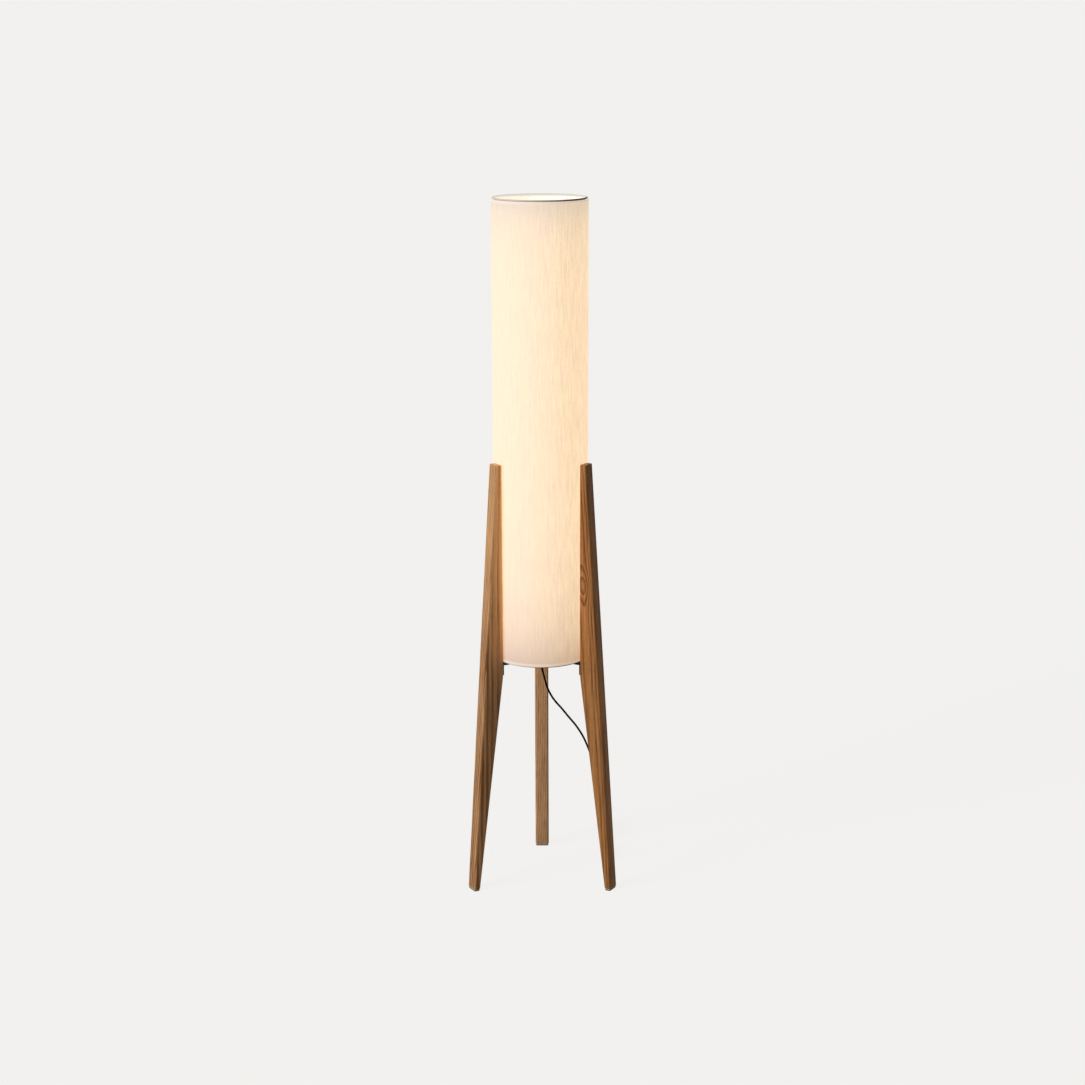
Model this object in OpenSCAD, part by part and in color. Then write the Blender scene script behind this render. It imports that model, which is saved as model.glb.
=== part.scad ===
// Column floor lamp: a tall cloth shade standing in three wooden legs, with a light
// column inside it and a cord with a push switch. Millimetres, +Z up, floor at z = 0.
// The origin is the centre of the footprint's box, and the lamp's own axis lies axis_y from it.

/* [Shade] */
// Outer diameter of the shade's cloth
shade_d = 200; // [180:1:240]
// Height of the shade's cloth
shade_h = 972; // [800:1:1200]
// Height of the cloth's lower edge above the floor
shade_z = 506; // [450:1:600]
// Thickness of the cloth
cloth_t = 0.8; // [0.6:0.1:1.2]
// Thickness of the stiff liner behind the cloth
liner_t = 0.6; // [0.4:0.1:1]
// Diameter of the wire of both shade rings
wire_d = 4; // [3:0.5:5]
// How far each wire ring shows past the cloth
ring_show = 2; // [1:0.5:3]
// Height of the two hem bands
hem_h = 5; // [4:0.5:12]
// Thickness of the hem bands and of the seam
hem_t = 0.4; // [0.3:0.05:0.5]
// Width of the shade's seam
seam_w = 14; // [8:1:20]

/* [Legs] */
// Height of the legs' flat tops above the floor
leg_top_z = 933; // [800:1:1100]
// Width of a leg, across the radius
leg_w = 30; // [26:1:36]
// Depth of a leg at its top, along the radius
leg_top_depth = 15; // [13:1:22]
// Depth of a leg at its foot, along the radius
foot_depth = 15; // [13:1:24]
// Radius from the lamp's axis to the outer face of a foot
foot_reach = 178; // [165:1:230]
// Radius of a leg's long rounded edges
leg_edge_r = 4; // [2:0.5:5]
// Gap between the cloth and a leg's inner face
leg_gap = 1; // [0.8:0.1:2]
// How far the knee of a leg lies below the cloth
knee_drop = 28; // [15:1:60]
// Half the height over which the knee is rounded
knee_blend = 15; // [8:1:20]
// Thickness of the soft foot pads
pad_t = 3; // [2:0.5:6]
// Thickness of the backing between a pad and its leg
backing_t = 0.8; // [0.5:0.1:2]
// How far a pad stands in from the foot's faces
pad_inset = 1; // [0.5:0.5:2]

/* [Base frame] */
// Thickness of the base frame's plate
frame_t = 3.5; // [3:0.5:5]
// Diameter of the frame's hub
hub_d = 92; // [88:1:110]
// Width of the frame's three arms
arm_w = 16; // [12:1:22]
// Width of the plate at the end of each arm
end_w = 36; // [34:1:50]
// Depth of the plate at the end of each arm, along the radius
end_depth = 12; // [8:1:16]
// Width of the tab that each leg is screwed to
tab_w = 20; // [16:1:24]
// Height of that tab below the plate
tab_h = 24; // [22:1:36]
// Thickness of that tab
tab_t = 3; // [2:0.5:4]
// Diameter of the leg screws
screw_d = 4; // [3:0.5:5]
// Height between the two screws of a leg
screw_pitch = 12; // [10:1:14]
// Length of a leg screw inside the leg
screw_in_leg = 16; // [12:1:20]
// Wall of the threaded inserts in the legs
insert_wall = 1; // [0.8:0.1:1.5]

/* [Light column] */
// Diameter of the driver can on the hub
can_d = 84; // [80:1:86]
// Height of the driver can
can_h = 44; // [38:1:60]
// Wall of the driver can
can_wall = 1.5; // [1:0.25:2]
// Diameter of the diffuser tube
tube_d = 60; // [56:1:70]
// Wall of the diffuser tube
tube_wall = 2; // [1.5:0.25:3]
// How far the diffuser's cap stays below the top of the cloth
tube_drop = 34; // [20:1:80]
// Circumradius of the three-sided column profile
column_r = 16; // [14:0.5:18]
// Wall of the column profile, measured along that radius
column_wall = 3; // [2:0.5:4]
// Width of a light strip
strip_w = 12; // [8:1:14]
// Thickness of a light strip
strip_t = 1.4; // [1:0.1:2]
// Thickness of the plates of the column's flange and cap
plate_t = 3; // [2:0.5:5]

/* [Cord] */
// Diameter of the cord
cord_d = 4.4; // [4:0.1:4.6]
// Height of the gland below the hub
gland_h = 22; // [18:1:22]
// Length of the hank's straight runs
run_l = 88; // [66:1:90]
// Radius of the hank's folds
loop_r = 13.5; // [13.5:0.5:15]
// Step from one loop to the next, up the hank
layer_step = 4.9; // [4.9:0.1:5.2]
// How far the tie draws each side of the hank in
waist_in = 3; // [1:0.5:4]
// Width of the hank's tie
tie_w = 12; // [8:1:20]
// Thickness of the hank's tie
tie_t = 1.2; // [0.8:0.1:1.5]

/* [Switch] */
// Width of the cord switch
switch_w = 26; // [24:1:28]
// Length of the cord switch
switch_l = 58; // [54:1:62]
// Height of the lower half of the switch
switch_base_h = 9; // [9:0.5:10]
// Height of the upper half of the switch
switch_cover_h = 9; // [8.5:0.5:11]
// Wall of the switch's shells
shell_t = 1.6; // [1.2:0.1:2]
// Diameter of the push button
button_d = 14; // [12:0.5:15]
// Travel of the push button
travel = 2.5; // [2:0.25:3]
// How far the pushed button still stands out of the cover
button_proud = 1.5; // [1:0.25:3]

/* [Plug] */
// Width of the plug's face
plug_w = 35; // [32:0.5:36]
// Height of the plug's face
plug_h = 14; // [12:0.5:16]
// Length of the plug's body
plug_l = 34; // [30:1:40]
// Diameter of the plug's pins
pin_d = 4; // [3.6:0.1:4.4]
// Length of the pins outside the body
pin_l = 19; // [16:1:22]
// Distance between the pins
pin_pitch = 18.6; // [17:0.1:19.4]

/* [Hidden] */
$fn = 96;

// Running and seating clearances
seat = 0.2;
slip = 0.3;
cut = 1;

// Directions of the legs, seen from above: the rear leg stands at +Y
left_az = 210;
right_az = 330;
rear_az = 90;
leg_azimuths = [left_az, right_az, rear_az];

// The lamp's axis, placed so that the footprint's box is centred on the origin
front_reach = foot_reach * sin(30) + leg_w / 2 * cos(30);
axis_y = -(foot_reach - front_reach) / 2;

// Shade
shade_r = shade_d / 2;
shade_top = shade_z + shade_h;
cloth_in_r = shade_r - cloth_t;
liner_r = cloth_in_r - seat;
liner_in_r = liner_r - liner_t;
ring_r = liner_in_r - seat - wire_d / 2;
hem_in_r = shade_r + seat / 2;

// Legs
leg_in_r = shade_r + leg_gap;
knee_z = shade_z - knee_drop;
foot_z = pad_t + backing_t;
foot_in_r = foot_reach - foot_depth;
foot_chamfer = 1.2;
top_chamfer = 0.8;
insert_inset = 1;
insert_l = screw_in_leg - insert_inset;
pad_l = foot_depth - 2 * pad_inset;
pad_w = leg_w - 2 * pad_inset;
pad_r = (foot_reach + foot_in_r) / 2;
shade_pad_h = 60;
shade_pad_drop = 20;
shade_pad_w = leg_w - 2 * leg_edge_r - 2 * pad_inset;
shade_pad_z = leg_top_z - shade_pad_drop - shade_pad_h;
shade_pad_in_r = hem_in_r + hem_t + seat / 2;

// Base frame: the lower ring stands on its plate
frame_top = shade_z - ring_show;
frame_z = frame_top - frame_t;
screw_top_z = frame_z - (tab_h - screw_pitch) / 2;
screw_heights = [screw_top_z, screw_top_z - screw_pitch];
screw_hole_d = screw_d + slip;
insert_d = screw_d + 2 * insert_wall + slip;
screw_head_d = 1.75 * screw_d;
screw_head_h = 0.6 * screw_d;

// Driver can and its contents, from the hub upwards
can_r = can_d / 2;
can_top = frame_top + can_h;
small_screw_d = 3;
small_head_d = 5.5;
small_head_h = 2;
small_hole_d = small_screw_d + slip;
can_lip = 7;
board_lift = 6;
board_gap = 1;
can_screw_r = can_r - can_lip / 2 - can_wall / 2;
board_r = can_r - can_wall - can_lip - board_gap;
board_z = frame_top + board_lift;
board_t = 1.6;
board_top = board_z + board_t;
standoff_d = 5.5;
standoff_r = board_r - standoff_d / 2 - board_gap;
board_hole_d = 24;
board_screw_d = 2.5;
board_head_d = 4.5;
transformer_size = [18, 12, 15];
chip_size = [6, 8, 2];
block_size = [12, 16, 9];
block_pitch = 8;
block_hole_d = 2.6;
block_well_d = 3;
// Place on the board, diameter and height of each capacitor and of the choke
upright_parts = [[-20, -3, 9, 16], [-16, -14, 8, 12], [-3, -21, 10, 8]];

// Light column on the can
tube_r = tube_d / 2;
tube_in_r = tube_r - tube_wall;
flange_top = can_top + plate_t;
tube_top = shade_top - tube_drop - plate_t;
spigot_r = tube_in_r - seat;
spigot_in_r = spigot_r - tube_wall;
spigot_h = 6;
column_in_r = column_r - column_wall;
column_apothem = column_r / 2;
collar_wall = 2.5;
collar_d = 2 * (column_r + collar_wall);
collar_h = 8;
flange_screw_r = spigot_in_r - small_head_d / 2 - slip;
rim_out = 1;
lead_hole_d = 10;
mains_wire_d = 1.7;
thin_wire_d = 1.4;
plug_depth = 12;
strip_margin = 12;

// Gland in the middle of the hub
gland_hole_d = cord_d + slip;
gland_thread_d = 12;
gland_hex_d = 21;
gland_hex_h = 8;
gland_cap_d = 16;
gland_cap_h = 4;
gland_z = frame_z - gland_h;
nut_hex_d = 19;
nut_h = 4;
thread_out = 2;
thread_h = frame_t + nut_h + thread_out;
cord_top = frame_z + thread_h;

// Cord switch on the floor behind the right leg
switch_x = 149;
switch_y = 119;
switch_h = switch_base_h + switch_cover_h;
switch_cord_z = 7;
boot_out = 6;
boot_neck_d = cord_d + 2.4;
switch_front = switch_y - switch_l / 2 - boot_out;
switch_back = switch_y + switch_l / 2 + boot_out;
button_flange = 1.2;
button_flange_t = 1.4;
roof_z = switch_h - shell_t;
button_low = roof_z - seat - button_flange_t;
spring_d = 8;
spring_wire = 0.8;
spring_turns = 6;
post_d = 5.6;
shell_r = 6;
post_y = switch_l / 2 - shell_r - shell_t;
post_x = switch_w / 2 - post_d / 2 - shell_t / 2;
tiny_screw_d = 2;
tiny_head_d = 3.8;
tiny_head_h = 1.2;
contact_t = 0.6;
contact_w = 3;
contact_l = 24;
contact_h = 6;
contact_x = 6.2;
boot_bore = 4;
lead_y = switch_l / 2 - shell_t - 1.2;
button_top = switch_h + button_proud + travel;
button_roof = button_top - shell_t;
spring_low = shell_t + seat + spring_wire / 2;
spring_high = button_roof - seat - spring_wire / 2;

// Hank of spare cord behind the switch
layers = 4;
hank_x = 146;
hank_z = tie_t + seat + cord_d / 2;
hank_half = run_l / 2;
lead_l = 12;
hank_front = switch_back + 42;
hank_y = hank_front + lead_l + hank_half;
hank_back = hank_y + hank_half + lead_l;

// Plug behind the hank
plug_x = 147;
plug_z = plug_h / 2;
boot_l = 16;
plug_front = hank_back + 42;
sleeve_l = 10;
sleeve_wall = 0.5;
core_d = pin_d - 2 * sleeve_wall - seat;
pin_root = 8;
tip_h = 1;
tip_chamfer = 0.8;

// ---------- shared shapes ----------

module on_axis() translate([0, axis_y, 0]) children();

module at_legs() on_axis() for (az = leg_azimuths) rotate(az) children();

module tube_shape(r_out, r_in, z, h)
    translate([0, 0, z]) difference() {
        cylinder(r = r_out, h = h);
        translate([0, 0, -cut]) cylinder(r = r_in, h = h + 2 * cut);
    }

module rounded_rect(w, l, r) {
    square([w - 2 * r, l], center = true);
    square([w, l - 2 * r], center = true);
    for (x = [-1, 1], y = [-1, 1])
        translate([x * (w / 2 - r), y * (l / 2 - r)]) circle(r = r, $fn = 24);
}

// A screw along +Z: its head lies above z = 0 and its shank below
module screw(d, l, head_d, head_h) {
    difference() {
        cylinder(d = head_d, h = head_h, $fn = 32);
        translate([0, 0, head_h / 2]) cylinder(d = d * 0.7, h = head_h, $fn = 6);
    }
    translate([0, 0, -l]) cylinder(d = d, h = l + head_h / 4, $fn = 32);
}

// A closed skin over a row of rings that all have as many points
module skin(rings) {
    n = len(rings[0]);
    last = len(rings) - 1;
    points = [for (ring = rings) each ring];
    sides = [for (i = [0 : last - 1], j = [0 : n - 1])
        let (a = i * n + j, b = a + n, c = (i + 1) * n + (j + 1) % n, e = i * n + (j + 1) % n)
        each [[a, b, c], [a, c, e]]];
    bottom = [for (j = [0 : n - 1]) j];
    top = [for (j = [n - 1 : -1 : 0]) last * n + j];
    polyhedron(points = points, faces = concat([bottom], sides, [top]));
}

function unit(v) = v / norm(v);

// One point of a smooth curve between q and r; p and s are their outer neighbours
function curve_point(p, q, r, s, t) =
    0.5 * (2 * q + t * (r - p) + t * t * (2 * p - 5 * q + 4 * r - s)
           + t * t * t * (3 * q - 3 * r + s - p));

// A smooth curve through a list of points, with steps no longer than step
function curve(points, step) = let (last = len(points) - 1) [
    for (i = [0 : last - 1])
        let (q = points[i], r = points[i + 1],
             p = i == 0 ? 2 * q - r : points[i - 1],
             s = i == last - 1 ? 2 * r - q : points[i + 2],
             n = ceil(norm(r - q) / step))
        for (k = [0 : n - 1]) curve_point(p, q, r, s, k / n),
    points[last]];

function line_length(line) = let (steps = [for (i = [1 : len(line) - 1]) norm(line[i] - line[i - 1])])
    steps * [for (step = steps) 1];

// Rings of a round tube along a line of points; side_axis is never along the line
function tube_rings(line, d, sides, side_axis) = let (last = len(line) - 1) [
    for (i = [0 : last])
        let (t = unit(line[min(i + 1, last)] - line[max(i - 1, 0)]),
             n = unit(cross(t, side_axis)),
             b = cross(t, n))
        [for (k = [0 : sides - 1]) line[i] + d / 2 * (cos(360 * k / sides) * n + sin(360 * k / sides) * b)]];

// ---------- legs and feet ----------

// Zero above the knee and the drop below it, rounded over the knee's blend
function below_knee(z) = let (drop = knee_z - z)
    drop <= -knee_blend ? 0 : drop >= knee_blend ? drop : pow(drop + knee_blend, 2) / (4 * knee_blend);
function leg_inner(z) = leg_in_r + (foot_in_r - leg_in_r) * below_knee(z) / (knee_z - foot_z);
function leg_outer(z) = leg_in_r + leg_top_depth
    + (foot_reach - leg_in_r - leg_top_depth) * (leg_top_z - z) / (leg_top_z - foot_z);

// A leg's section at one height, drawn in by inset
function leg_ring(z, inset) =
    let (r = leg_edge_r - inset / 2, low = leg_inner(z) + inset, high = leg_outer(z) - inset,
         half = leg_w / 2 - inset)
    [for (corner = [[high - r, half - r, 0], [low + r, half - r, 90],
                    [low + r, r - half, 180], [high - r, r - half, 270]],
          a = [0 : 22.5 : 90])
        [corner.x + r * cos(corner.z + a), corner.y + r * sin(corner.z + a), z]];

module leg(az) on_axis() rotate(az) difference() {
    skin(concat(
        [leg_ring(foot_z, foot_chamfer), leg_ring(foot_z + foot_chamfer, 0)],
        [for (k = [-4 : 4]) leg_ring(knee_z + k * knee_blend / 4, 0)],
        [leg_ring(leg_top_z - top_chamfer, 0), leg_ring(leg_top_z, top_chamfer)]));
    for (z = screw_heights)
        translate([leg_in_r - knee_blend, 0, z]) rotate([0, 90, 0])
            cylinder(d = insert_d + seat, h = knee_blend + screw_in_leg + cut);
}
module leg_left() color("#8a5f3c") leg(left_az);
module leg_right() color("#8a5f3c") leg(right_az);
module leg_rear() color("#8a5f3c") leg(rear_az);

module foot_plate(az, z, h) on_axis() rotate(az) translate([pad_r, 0, z])
    linear_extrude(h) rounded_rect(pad_l, pad_w, leg_edge_r - pad_inset);
module pad_left() color("#2b2622") foot_plate(left_az, 0, pad_t);
module pad_right() color("#2b2622") foot_plate(right_az, 0, pad_t);
module pad_rear() color("#2b2622") foot_plate(rear_az, 0, pad_t);
module pad_backings() color("#cfc8bd") for (az = leg_azimuths) foot_plate(az, pad_t, backing_t);

module leg_inserts() color("#b5934a") at_legs() for (z = screw_heights)
    translate([leg_inner(z) + insert_inset, 0, z]) rotate([0, 90, 0])
        tube_shape(insert_d / 2, screw_hole_d / 2, 0, insert_l);

module leg_screws() color("#1c1c1e") at_legs() for (z = screw_heights)
    translate([leg_in_r - tab_t, 0, z]) rotate([0, -90, 0])
        screw(screw_d, tab_t + insert_l, screw_head_d, screw_head_h);

module base_frame() color("#1d1d1f") on_axis() difference() {
    union() {
        translate([0, 0, frame_z]) cylinder(d = hub_d, h = frame_t);
        for (az = leg_azimuths) rotate(az) {
            translate([0, -arm_w / 2, frame_z]) cube([leg_in_r - cut, arm_w, frame_t]);
            translate([leg_in_r - end_depth, -end_w / 2, frame_z]) cube([end_depth, end_w, frame_t]);
            translate([leg_in_r - tab_t, -tab_w / 2, frame_z - tab_h]) cube([tab_t, tab_w, tab_h + cut]);
        }
    }
    translate([0, 0, frame_z - cut]) cylinder(d = gland_thread_d + slip, h = frame_t + 2 * cut);
    for (az = leg_azimuths) rotate(az) {
        for (z = screw_heights)
            translate([leg_in_r - tab_t - cut, 0, z]) rotate([0, 90, 0])
                cylinder(d = screw_hole_d, h = tab_t + 2 * cut);
        rotate(60) translate([can_screw_r, 0, frame_z - cut])
            cylinder(d = small_hole_d, h = frame_t + 2 * cut);
    }
}

// ---------- shade ----------

module wire_ring(z) on_axis() translate([0, 0, z]) rotate_extrude() translate([ring_r, 0])
    circle(d = wire_d, $fn = 32);
module bottom_ring() color("#2a2826") wire_ring(frame_top + wire_d / 2);
module top_ring() color("#2a2826") wire_ring(shade_top + ring_show - wire_d / 2);

module shade_cloth() color("#fbeed6") on_axis() tube_shape(shade_r, cloth_in_r, shade_z, shade_h);
module shade_liner() color("#fff8ea") on_axis() tube_shape(liner_r, liner_in_r, shade_z, shade_h);
module bottom_hem() color("#f4e6d0") on_axis()
    tube_shape(hem_in_r + hem_t, hem_in_r, shade_z, hem_h);
module top_hem() color("#f4e6d0") on_axis()
    tube_shape(hem_in_r + hem_t, hem_in_r, shade_top - hem_h, hem_h);
module shade_seam() color("#f4e6d0") on_axis()
    rotate(rear_az - seam_w / shade_r * 90 / PI) translate([0, 0, shade_z + hem_h + seat])
        rotate_extrude(angle = seam_w / shade_r * 180 / PI)
            translate([hem_in_r, 0]) square([hem_t, shade_h - 2 * hem_h - 2 * seat]);

// Soft pads that steady the shade between the tops of the legs
module shade_pads() color("#d9cbb5") at_legs() translate([0, 0, shade_pad_z])
    linear_extrude(shade_pad_h) polygon(concat(
        [[leg_in_r, shade_pad_w / 2], [leg_in_r, -shade_pad_w / 2]],
        [for (k = [-5 : 5]) let (a = asin(shade_pad_w / 2 / shade_pad_in_r) * k / 5)
            shade_pad_in_r * [cos(a), sin(a)]]));

// ---------- driver can on the hub ----------

module driver_can() color("#e9e7e2") on_axis() difference() {
    translate([0, 0, frame_top]) cylinder(r = can_r, h = can_h);
    translate([0, 0, frame_top + can_wall]) cylinder(r = can_r - can_wall, h = can_h - 2 * can_wall);
    translate([0, 0, frame_top - cut]) cylinder(r = can_r - can_wall - can_lip, h = can_wall + 2 * cut);
    translate([0, 0, can_top - can_wall - cut]) cylinder(d = lead_hole_d, h = can_wall + 2 * cut);
    for (az = leg_azimuths) rotate(az + 60) {
        translate([can_screw_r, 0, frame_top - cut]) cylinder(d = small_hole_d, h = can_wall + 2 * cut);
        translate([flange_screw_r, 0, can_top - can_wall - cut])
            cylinder(d = small_hole_d, h = can_wall + 2 * cut);
    }
}

module can_screws() color("#8f9194") on_axis() for (az = leg_azimuths)
    rotate(az + 60) translate([can_screw_r, 0, frame_z]) rotate([180, 0, 0])
        screw(small_screw_d, frame_t + can_wall + cut, small_head_d, small_head_h);

module at_standoffs(z) at_legs() translate([standoff_r, 0, z]) children();

module board_standoffs() color("#c9a24a") at_standoffs(frame_top) difference() {
    cylinder(d = standoff_d, h = board_lift, $fn = 6);
    translate([0, 0, cut]) cylinder(d = board_screw_d + seat / 2, h = board_lift);
}

module driver_board() color("#2f6b46") difference() {
    on_axis() tube_shape(board_r, board_hole_d / 2, board_z, board_t);
    at_standoffs(board_z - cut) cylinder(d = board_screw_d + slip, h = board_t + 2 * cut);
}

module board_screws() color("#8f9194") at_standoffs(board_top)
    screw(board_screw_d, board_t + board_lift - 2 * cut, board_head_d, small_head_h);

// Transformer, two capacitors, a choke and a small chip
module driver_parts() color("#3a3f45") on_axis() translate([0, 0, board_top]) {
    translate([-transformer_size.x / 2, 13, 0]) cube(transformer_size);
    translate([15, 10, 0]) cube(chip_size);
    for (part = upright_parts)
        translate([part[0], part[1], 0]) cylinder(d = part[2], h = part[3], $fn = 48);
}

// Block with two wire holes towards the axis and a screw well over the end of each
module terminal_block() color("#ece9e2") on_axis() translate([14, 0, board_top]) difference() {
    translate([0, -block_size.y / 2, 0]) cube(block_size);
    for (s = [-1, 1]) translate([0, s * block_pitch / 2, block_size.z / 2]) {
        translate([-cut, 0, 0]) rotate([0, 90, 0]) cylinder(d = block_hole_d, h = block_size.x / 2 + 2 * cut);
        translate([block_size.x / 2, 0, cut]) cylinder(d = block_well_d, h = block_size.z / 2);
    }
}

// Two insulated wires from the cord's end into the terminal block
module mains_leads() color("#6b4a2b") on_axis() for (s = [-1, 1])
    skin(tube_rings(curve([[0, s, cord_top], [0, s, cord_top + 2], [4, 2.4 * s, board_top + 4],
                           [10, block_pitch / 2 * s, board_top + block_size.z / 2],
                           [17, block_pitch / 2 * s, board_top + block_size.z / 2]], 2),
                    mains_wire_d, 8, [0, 1, 0]));

// Two thin wires from the board up into the hollow column
module led_leads() color("#a03530") on_axis() for (s = [-1, 1])
    skin(tube_rings(curve([[-13.5, 1.5 * s, board_top], [-13.5, 1.5 * s, board_top + 8],
                           [-7, 1.5 * s, can_top - 14], [-2, 1.5 * s, can_top - 6],
                           [-1, 1.5 * s, flange_top + 2], [-1, 1.5 * s, flange_top + 12]], 3),
                    thin_wire_d, 8, [0, 1, 0]));

// ---------- light column ----------

module three_sided(r, z, h) translate([0, 0, z]) rotate(rear_az) cylinder(r = r, h = h, $fn = 3);

module column_flange() color("#d5d6d8") on_axis() difference() {
    union() {
        translate([0, 0, can_top]) cylinder(r = tube_r + rim_out, h = plate_t);
        tube_shape(spigot_r, spigot_in_r, flange_top - cut, spigot_h + cut);
        translate([0, 0, flange_top - cut]) cylinder(d = collar_d, h = collar_h + cut);
    }
    three_sided(column_r + seat, flange_top, collar_h + cut);
    translate([0, 0, can_top - cut]) cylinder(d = lead_hole_d, h = plate_t + 2 * cut);
    for (az = leg_azimuths) rotate(az + 60) {
        translate([flange_screw_r, 0, can_top - cut]) cylinder(d = small_hole_d, h = plate_t + 2 * cut);
        translate([flange_screw_r, 0, flange_top]) cylinder(d = small_head_d + slip, h = collar_h + cut);
    }
}

module flange_screws() color("#8f9194") on_axis() for (az = leg_azimuths)
    rotate(az + 60) translate([flange_screw_r, 0, flange_top])
        screw(small_screw_d, plate_t + can_wall + 2, small_head_d, small_head_h);

module column_profile() color("#c4c6c9") on_axis() difference() {
    three_sided(column_r, flange_top, tube_top - flange_top);
    three_sided(column_in_r, flange_top - cut, tube_top - flange_top + 2 * cut);
}

module led_strips() color("#fff3c8") on_axis() for (az = leg_azimuths)
    rotate(az + 60) translate([column_apothem + seat / 2, -strip_w / 2, flange_top + collar_h + strip_margin])
        cube([strip_t, strip_w, tube_top - flange_top - collar_h - spigot_h - 2 * strip_margin]);

module column_plug() color("#3b3d40") on_axis() difference() {
    three_sided(column_in_r - 2 * seat, tube_top - plug_depth, plug_depth);
    translate([0, 0, tube_top - plug_depth - cut])
        cylinder(d = small_hole_d, h = plug_depth + 2 * cut);
}

module tube_cap() color("#d5d6d8") on_axis() difference() {
    union() {
        translate([0, 0, tube_top]) cylinder(r = tube_r + rim_out, h = plate_t);
        tube_shape(spigot_r, spigot_in_r, tube_top - spigot_h, spigot_h + cut);
    }
    translate([0, 0, tube_top - cut]) cylinder(d = small_hole_d, h = plate_t + 2 * cut);
}

module cap_screw() color("#8f9194") on_axis() translate([0, 0, tube_top + plate_t])
    screw(small_screw_d, plate_t + plug_depth - 2, small_head_d, small_head_h);

module diffuser_tube() color("#fffdf4") on_axis()
    tube_shape(tube_r, tube_in_r, flange_top, tube_top - flange_top);

// ---------- gland and cord ----------

module cord_gland() color("#161616") on_axis() difference() {
    union() {
        translate([0, 0, gland_z])
            cylinder(d1 = gland_cap_d - gland_cap_h, d2 = gland_cap_d, h = gland_cap_h);
        translate([0, 0, gland_z + gland_cap_h])
            cylinder(d = gland_cap_d, h = gland_h - gland_hex_h - gland_cap_h);
        translate([0, 0, frame_z - gland_hex_h]) cylinder(d = gland_hex_d, h = gland_hex_h, $fn = 6);
        translate([0, 0, frame_z - cut]) cylinder(d = gland_thread_d, h = thread_h + cut);
    }
    translate([0, 0, gland_z - cut]) cylinder(d = gland_hole_d, h = gland_h + thread_h + 2 * cut);
}

module gland_nut() color("#161616") on_axis() translate([0, 0, frame_top]) difference() {
    cylinder(d = nut_hex_d, h = nut_h, $fn = 6);
    translate([0, 0, -cut]) cylinder(d = gland_thread_d + slip, h = nut_h + 2 * cut);
}

// ---------- hank ----------

// The hank is one cord. Turn t runs from 0 to the number of layers, one loop a layer: it
// spirals in on the first layer and out on the next, and climbs along the run between them.
arc_share = PI * loop_r / (2 * run_l + 2 * PI * loop_r);
run_share = 0.5 - arc_share;

// A smooth rise from 0 to 1
function ease(x) = let (u = min(1, max(0, x))) u * u * (3 - 2 * u);
// Height of turn t: one step up in each turn, within the run on the far side from the leads
function loop_z(t) = hank_z + layer_step
    * ([for (k = [1 : layers]) ease((t - k + 0.5) / run_share + 0.5)] * [for (k = [1 : layers]) 1]);
// How far the tie draws a run in, at a place along it
function drawn_in(y) = waist_in * (0.5 + 0.5 * cos(180 * min(1, abs(y) / hank_half)));
// Place of turn t: half a run, a fold, a whole run, a fold and half a run
function loop_point(t) =
    let (r = loop_r, u = t - floor(t), z = loop_z(t), half = run_share / 2)
    t < 0 || t > layers ? let (y = (t < 0 ? t : t - layers) / half * hank_half)
        [r - drawn_in(y), y, z]
    : u < half ? let (y = u / half * hank_half) [r - drawn_in(y), y, z]
    : u < half + arc_share ? let (a = (u - half) / arc_share * 180)
        [r * cos(a), hank_half + r * sin(a), z]
    : u < 1 - half - arc_share ? let (y = hank_half - (u - half - arc_share) / half * hank_half)
        [drawn_in(y) - r, y, z]
    : u < 1 - half ? let (a = 180 + (u - 1 + half + arc_share) / arc_share * 180)
        [r * cos(a), -hank_half + r * sin(a), z]
    : let (y = (u - 1) / half * hank_half) [r - drawn_in(y), y, z];

lead_span = run_share / 2;
tail_z = loop_z(layers);
// Turns at which a loop has its rings: two on each half run, eight on a fold, four on a run
loop_shares = let (half = run_share / 2) concat(
    [0, half / 2],
    [for (k = [0 : 7]) half + arc_share * k / 8],
    [for (k = [0 : 3]) half + arc_share + run_share * k / 4],
    [for (k = [0 : 7]) 1 - half - arc_share * (1 - k / 8)],
    [1 - half, 1 - half / 2]);
hank_turns = [for (loop = [0 : layers - 1], share = loop_shares) loop + share];
// The whole line of the hank, with a straight lead at both ends
hank_line = concat(
    [[loop_r, -hank_half - lead_l, hank_z], [loop_r, -hank_half - lead_l + cord_d, hank_z]],
    [for (k = [-2 : -1]) loop_point(k / 2 * lead_span)],
    [for (t = hank_turns) loop_point(t)],
    [for (k = [0 : 2]) loop_point(layers + k / 2 * lead_span)],
    [[loop_r, hank_half + lead_l - cord_d, tail_z], [loop_r, hank_half + lead_l, tail_z]]);

// Least gap of the cord to itself, past the points that lie next to each other along it
hank_gap = min([for (i = [0 : len(hank_line) - 1], j = [i + 6 : 1 : len(hank_line) - 1])
    norm(hank_line[i] - hank_line[j])]) - cord_d;
echo(least_gap_of_the_hank = hank_gap);
echo(length_of_the_hank = line_length(hank_line));

module cord_hank() color("#171615") on_axis() translate([hank_x, hank_y, 0])
    skin(tube_rings(hank_line, cord_d, 6, [0, 0, 1]));

// A band round the hank's waist
tie_gap = 0.4;
tie_half = loop_r - waist_in + cord_d / 2 + tie_gap;
tie_inner_h = tail_z + cord_d / 2 + seat - tie_t;
module cord_tie() color("#0f0f10") on_axis() translate([hank_x, hank_y, 0]) difference() {
    translate([-tie_half - tie_t, -tie_w / 2, 0])
        cube([2 * (tie_half + tie_t), tie_w, tie_inner_h + 2 * tie_t]);
    translate([-tie_half, -tie_w / 2 - cut, tie_t]) cube([2 * tie_half, tie_w + 2 * cut, tie_inner_h]);
}

// ---------- cord's free stretches ----------

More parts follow.
